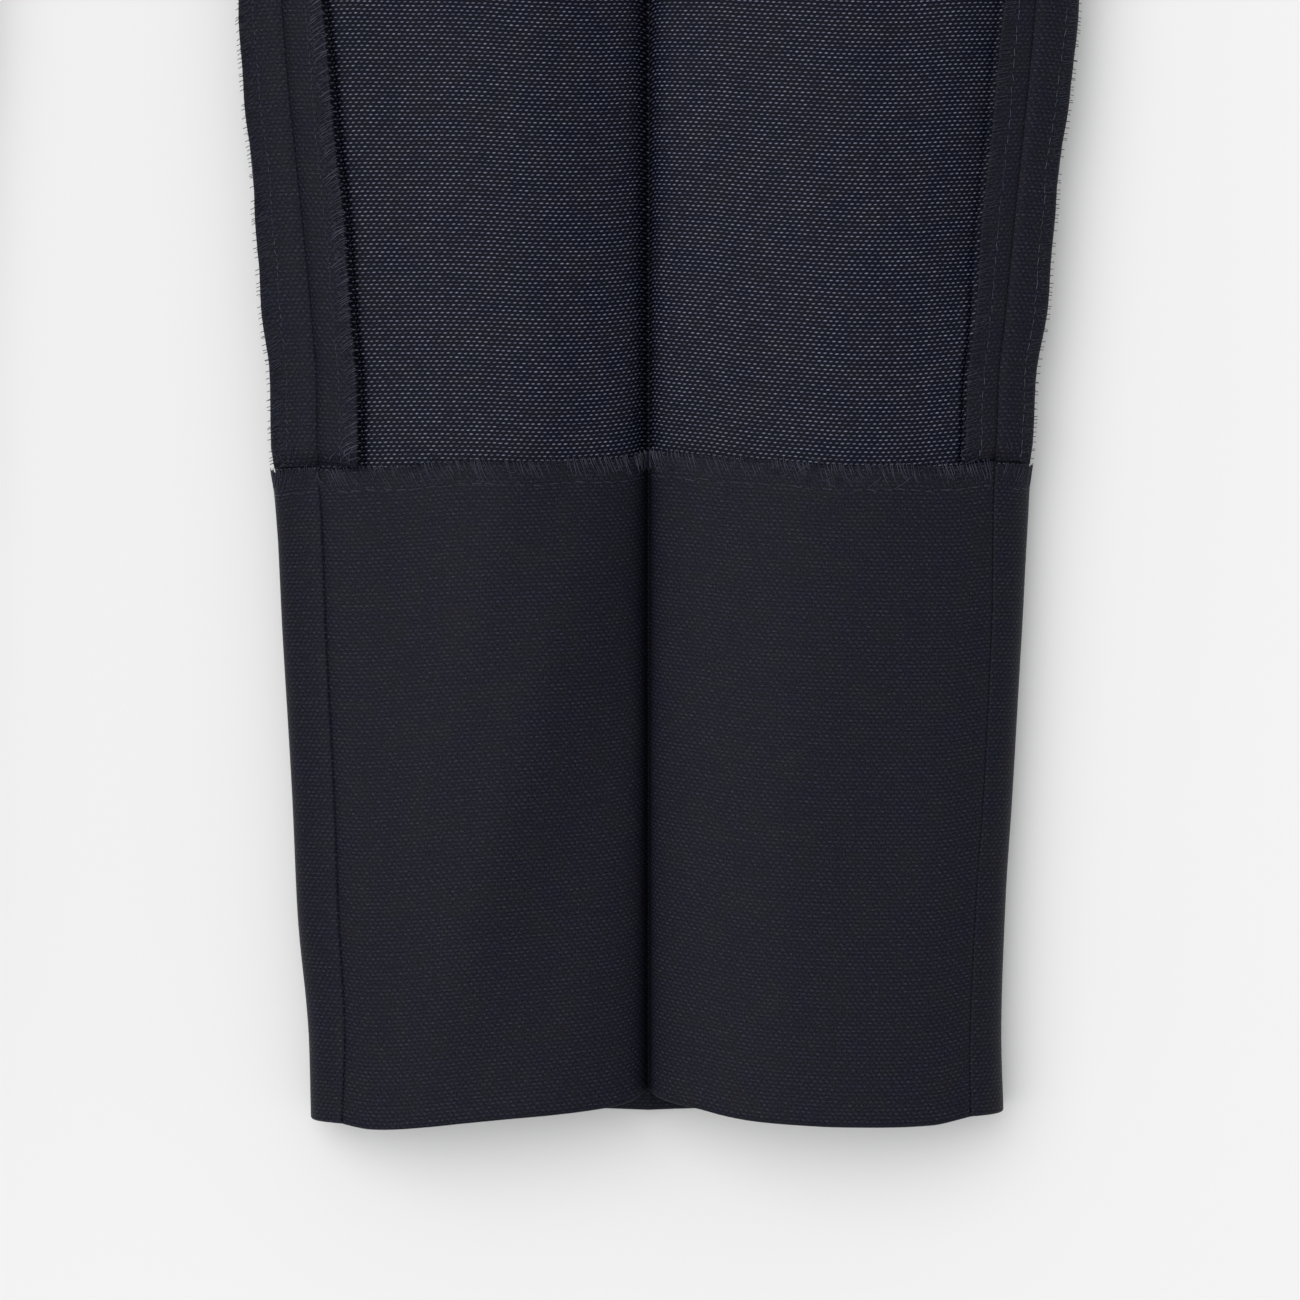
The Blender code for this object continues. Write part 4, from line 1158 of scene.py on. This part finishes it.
# How far it stands off the fronts, from its left edge over the chain to its right edge
SHIELD_FORM = np.array(
    (
        (-34.0, -33.0, -15.0, -12.5, -9.5, -4.5, 4.5, 9.5, 11.2, 12.0),
        (0.98, 1.12, 1.35, 1.8, 2.05, 2.95, 2.95, 2.2, 1.95, 1.72),
    )
)
columns = np.concatenate((np.linspace(-SHIELD_LEFT, -0.2, 26), np.linspace(0.2, SHIELD_RIGHT, 10)))
down = fly_rows.reshape(-1, 1)
over_slider = smooth_step(down, 912.0, 921.0) * (1.0 - smooth_step(down, 945.0, 953.0))
offsets = np.interp(columns, *SHIELD_FORM) + 2.35 * over_slider * np.exp(-((columns / 7.0) ** 4))
offsets += 0.10 * np.sin(down / 11.0 + columns / 6.0)
fly_shield, points = make_fly_piece(
    "fly_shield_cover", columns, offsets, SHIELD_CLOTH, face_side, "fly_shield"
)


def topstitch(name, band, inset, dash, pitch, chance, wander, lift):
    """Lays a line of even stitches along an edge."""
    stitches = needle_line(band[3][-1], inset, dash, pitch, chance, wander=wander) + (0.0, 0.0, lift)
    return lay_threads(name, band, stitches, needle_thread)


chance = np.random.default_rng(41)
down_sides = points.transpose(1, 0, 2)
sewn = [
    topstitch(f"fly_shield_stitches_{title}", edge_band(near_edge), 2.0, 1.7, 2.4, chance, 0.06, 0.45)
    for title, near_edge in (("left", down_sides[:12]), ("right", down_sides[::-1][:9]))
]
band = edge_band(points[::-1][:6])
ways = slanting(band[3][-1], 4.2, 1.8, 1.35, chance) + (0.0, 0.0, 0.47)
sewn.append(lay_threads("fly_shield_overlock", band, ways, overlock_thread))

# The waistband's topstitching, along both edges of each half.
for leg, points in band_points.items():
    sewn = []
    for title, grid in (("top", points[::-1]), ("bottom", points)):
        for place, near_edge in (("back", grid[:, : BACK_COLUMNS + 1]), ("front", grid[:, BACK_COLUMNS:])):
            band = edge_band(near_edge, up=place == "front")
            chance = np.random.default_rng(71)
            name = f"waistband_stitches_{title}_{place}_{leg}"
            sewn.append(topstitch(name, band, 1.8, 1.8, 2.5, chance, 0.05, 0.5 * BAND))

# The pocket bags' edges: overlocked down the side by the crease and round the bottom.
for leg, points in bag_points.items():
    chance = np.random.default_rng(83)
    sewn = []
    for title, near_edge in (("side", points.transpose(1, 0, 2)[:9]), ("bottom", points[::-1][:9])):
        band = edge_band(near_edge)
        length = band[3][-1]
        ways = (slanting(length, 4.6, 1.9, 1.5, chance), slanting(length, 3.0, -1.2, 2.6, chance))
        dashes = needle_line(length, 4.8, 1.6, 2.3, chance)
        name = f"pocket_bag_{{}}_{title}_{leg}"
        sewn += overlock(name, band, ways, dashes, overlock_thread, ON_CLOTH)

# The button of the underlap: a turned resin disc with a rim and four holes, sewn on through them.
# The middle of its underside, its size and the depth of its dish, and its holes
BUTTON_CENTRE = (-26.0, 480.0, 17.45)
BUTTON_RADIUS, BUTTON_THICKNESS, DISH = 7.4, 2.7, 0.75
HOLE_SPREAD, HOLE_RADIUS = 1.55, 0.8
bpy.ops.mesh.primitive_cylinder_add(
    vertices=64, radius=BUTTON_RADIUS * MM, depth=BUTTON_THICKNESS * MM
)
button = bpy.context.object
button.name = button.data.name = "waist_button_disc"
bpy.ops.object.mode_set(mode="EDIT")
bpy.ops.mesh.select_mode(type="FACE")
bpy.ops.mesh.select_all(action="DESELECT")
bpy.ops.object.mode_set(mode="OBJECT")
for face in button.data.polygons:
    face.select = face.normal[2] > 0.9
bpy.ops.object.mode_set(mode="EDIT")
bpy.ops.mesh.inset(thickness=1.3 * MM)
bpy.ops.mesh.inset(thickness=0.9 * MM)
bpy.ops.transform.translate(value=(0.0, 0.0, -DISH * MM))
bpy.ops.object.mode_set(mode="OBJECT")
round_edges(button, 0.45, 4, 30.0)
for across, up in ((-1, -1), (1, -1), (-1, 1), (1, 1)):
    bpy.ops.mesh.primitive_cylinder_add(
        vertices=20,
        radius=HOLE_RADIUS * MM,
        depth=8.0 * MM,
        location=(across * HOLE_SPREAD * MM, up * HOLE_SPREAD * MM, 0.0),
    )
    drill = bpy.context.object
    hole = button.modifiers.new("hole", "BOOLEAN")
    hole.operation = "DIFFERENCE"
    hole.object = drill
    bpy.context.view_layer.objects.active = button
    bpy.ops.object.modifier_apply(modifier="hole")
    bpy.data.objects.remove(drill)
bpy.ops.object.select_all(action="DESELECT")
button.select_set(True)
bpy.context.view_layer.objects.active = button
button.location = [value * MM for value in BUTTON_CENTRE]
button.location[2] += 0.5 * BUTTON_THICKNESS * MM
bpy.ops.object.transform_apply(location=True, rotation=False, scale=False)
bpy.ops.object.shade_smooth_by_angle(angle=math.radians(35.0))
resin, tree, surface = start_material("button_resin", 0.36, 0.3)
place = add_node(tree, "TexCoord", {})["Object"]
marbling = noise(tree, place, 380.0, 2.0, Distortion=1.2)
feed(tree, surface["Base Color"], mixed(tree, marbling, (0.010, 0.010, 0.014), (0.032, 0.032, 0.042)))
button.data.materials.append(resin)
settle(button, "waist_button")

# Its thread is laid from a level square, 12 mm wide, at the bottom of its dish
drop = BUTTON_THICKNESS - DISH
button_top = BUTTON_CENTRE[2] + drop
flat_x, flat_y = np.meshgrid(np.linspace(-6.0, 6.0, 5), np.linspace(-6.0, 6.0, 5))
flat_grid = (flat_x + BUTTON_CENTRE[0], flat_y + BUTTON_CENTRE[1], np.full_like(flat_x, button_top))
band = edge_band(np.stack(flat_grid, axis=2) * MM)
sewn = []
for line in (-1.0, 1.0):
    for strand in (-0.36, -0.12, 0.12, 0.36):
        start, end, at = 6.0 - HOLE_SPREAD, 6.0 + HOLE_SPREAD, 6.0 + line * HOLE_SPREAD + strand
        sewn.append(((start, at, -1.6), (start + 0.5, at, 0.32), (end - 0.5, at, 0.32), (end, at, -1.6)))
for turn in np.linspace(0.0, 2.0 * math.pi, 9)[:-1]:
    x, y = 6.0 + 1.5 * math.cos(turn), 6.0 + 1.5 * math.sin(turn)
    shank = ((0.0, 0.0, 0.3), (0.1, 0.0, -0.1), (0.0, 0.1, -0.4), (0.0, 0.0, -0.9))
    sewn.append([(x + aside, y + ahead, up - drop) for aside, ahead, up in shank])
lay_threads("waist_button_thread", band, np.array(sewn), needle_thread, 0.16)
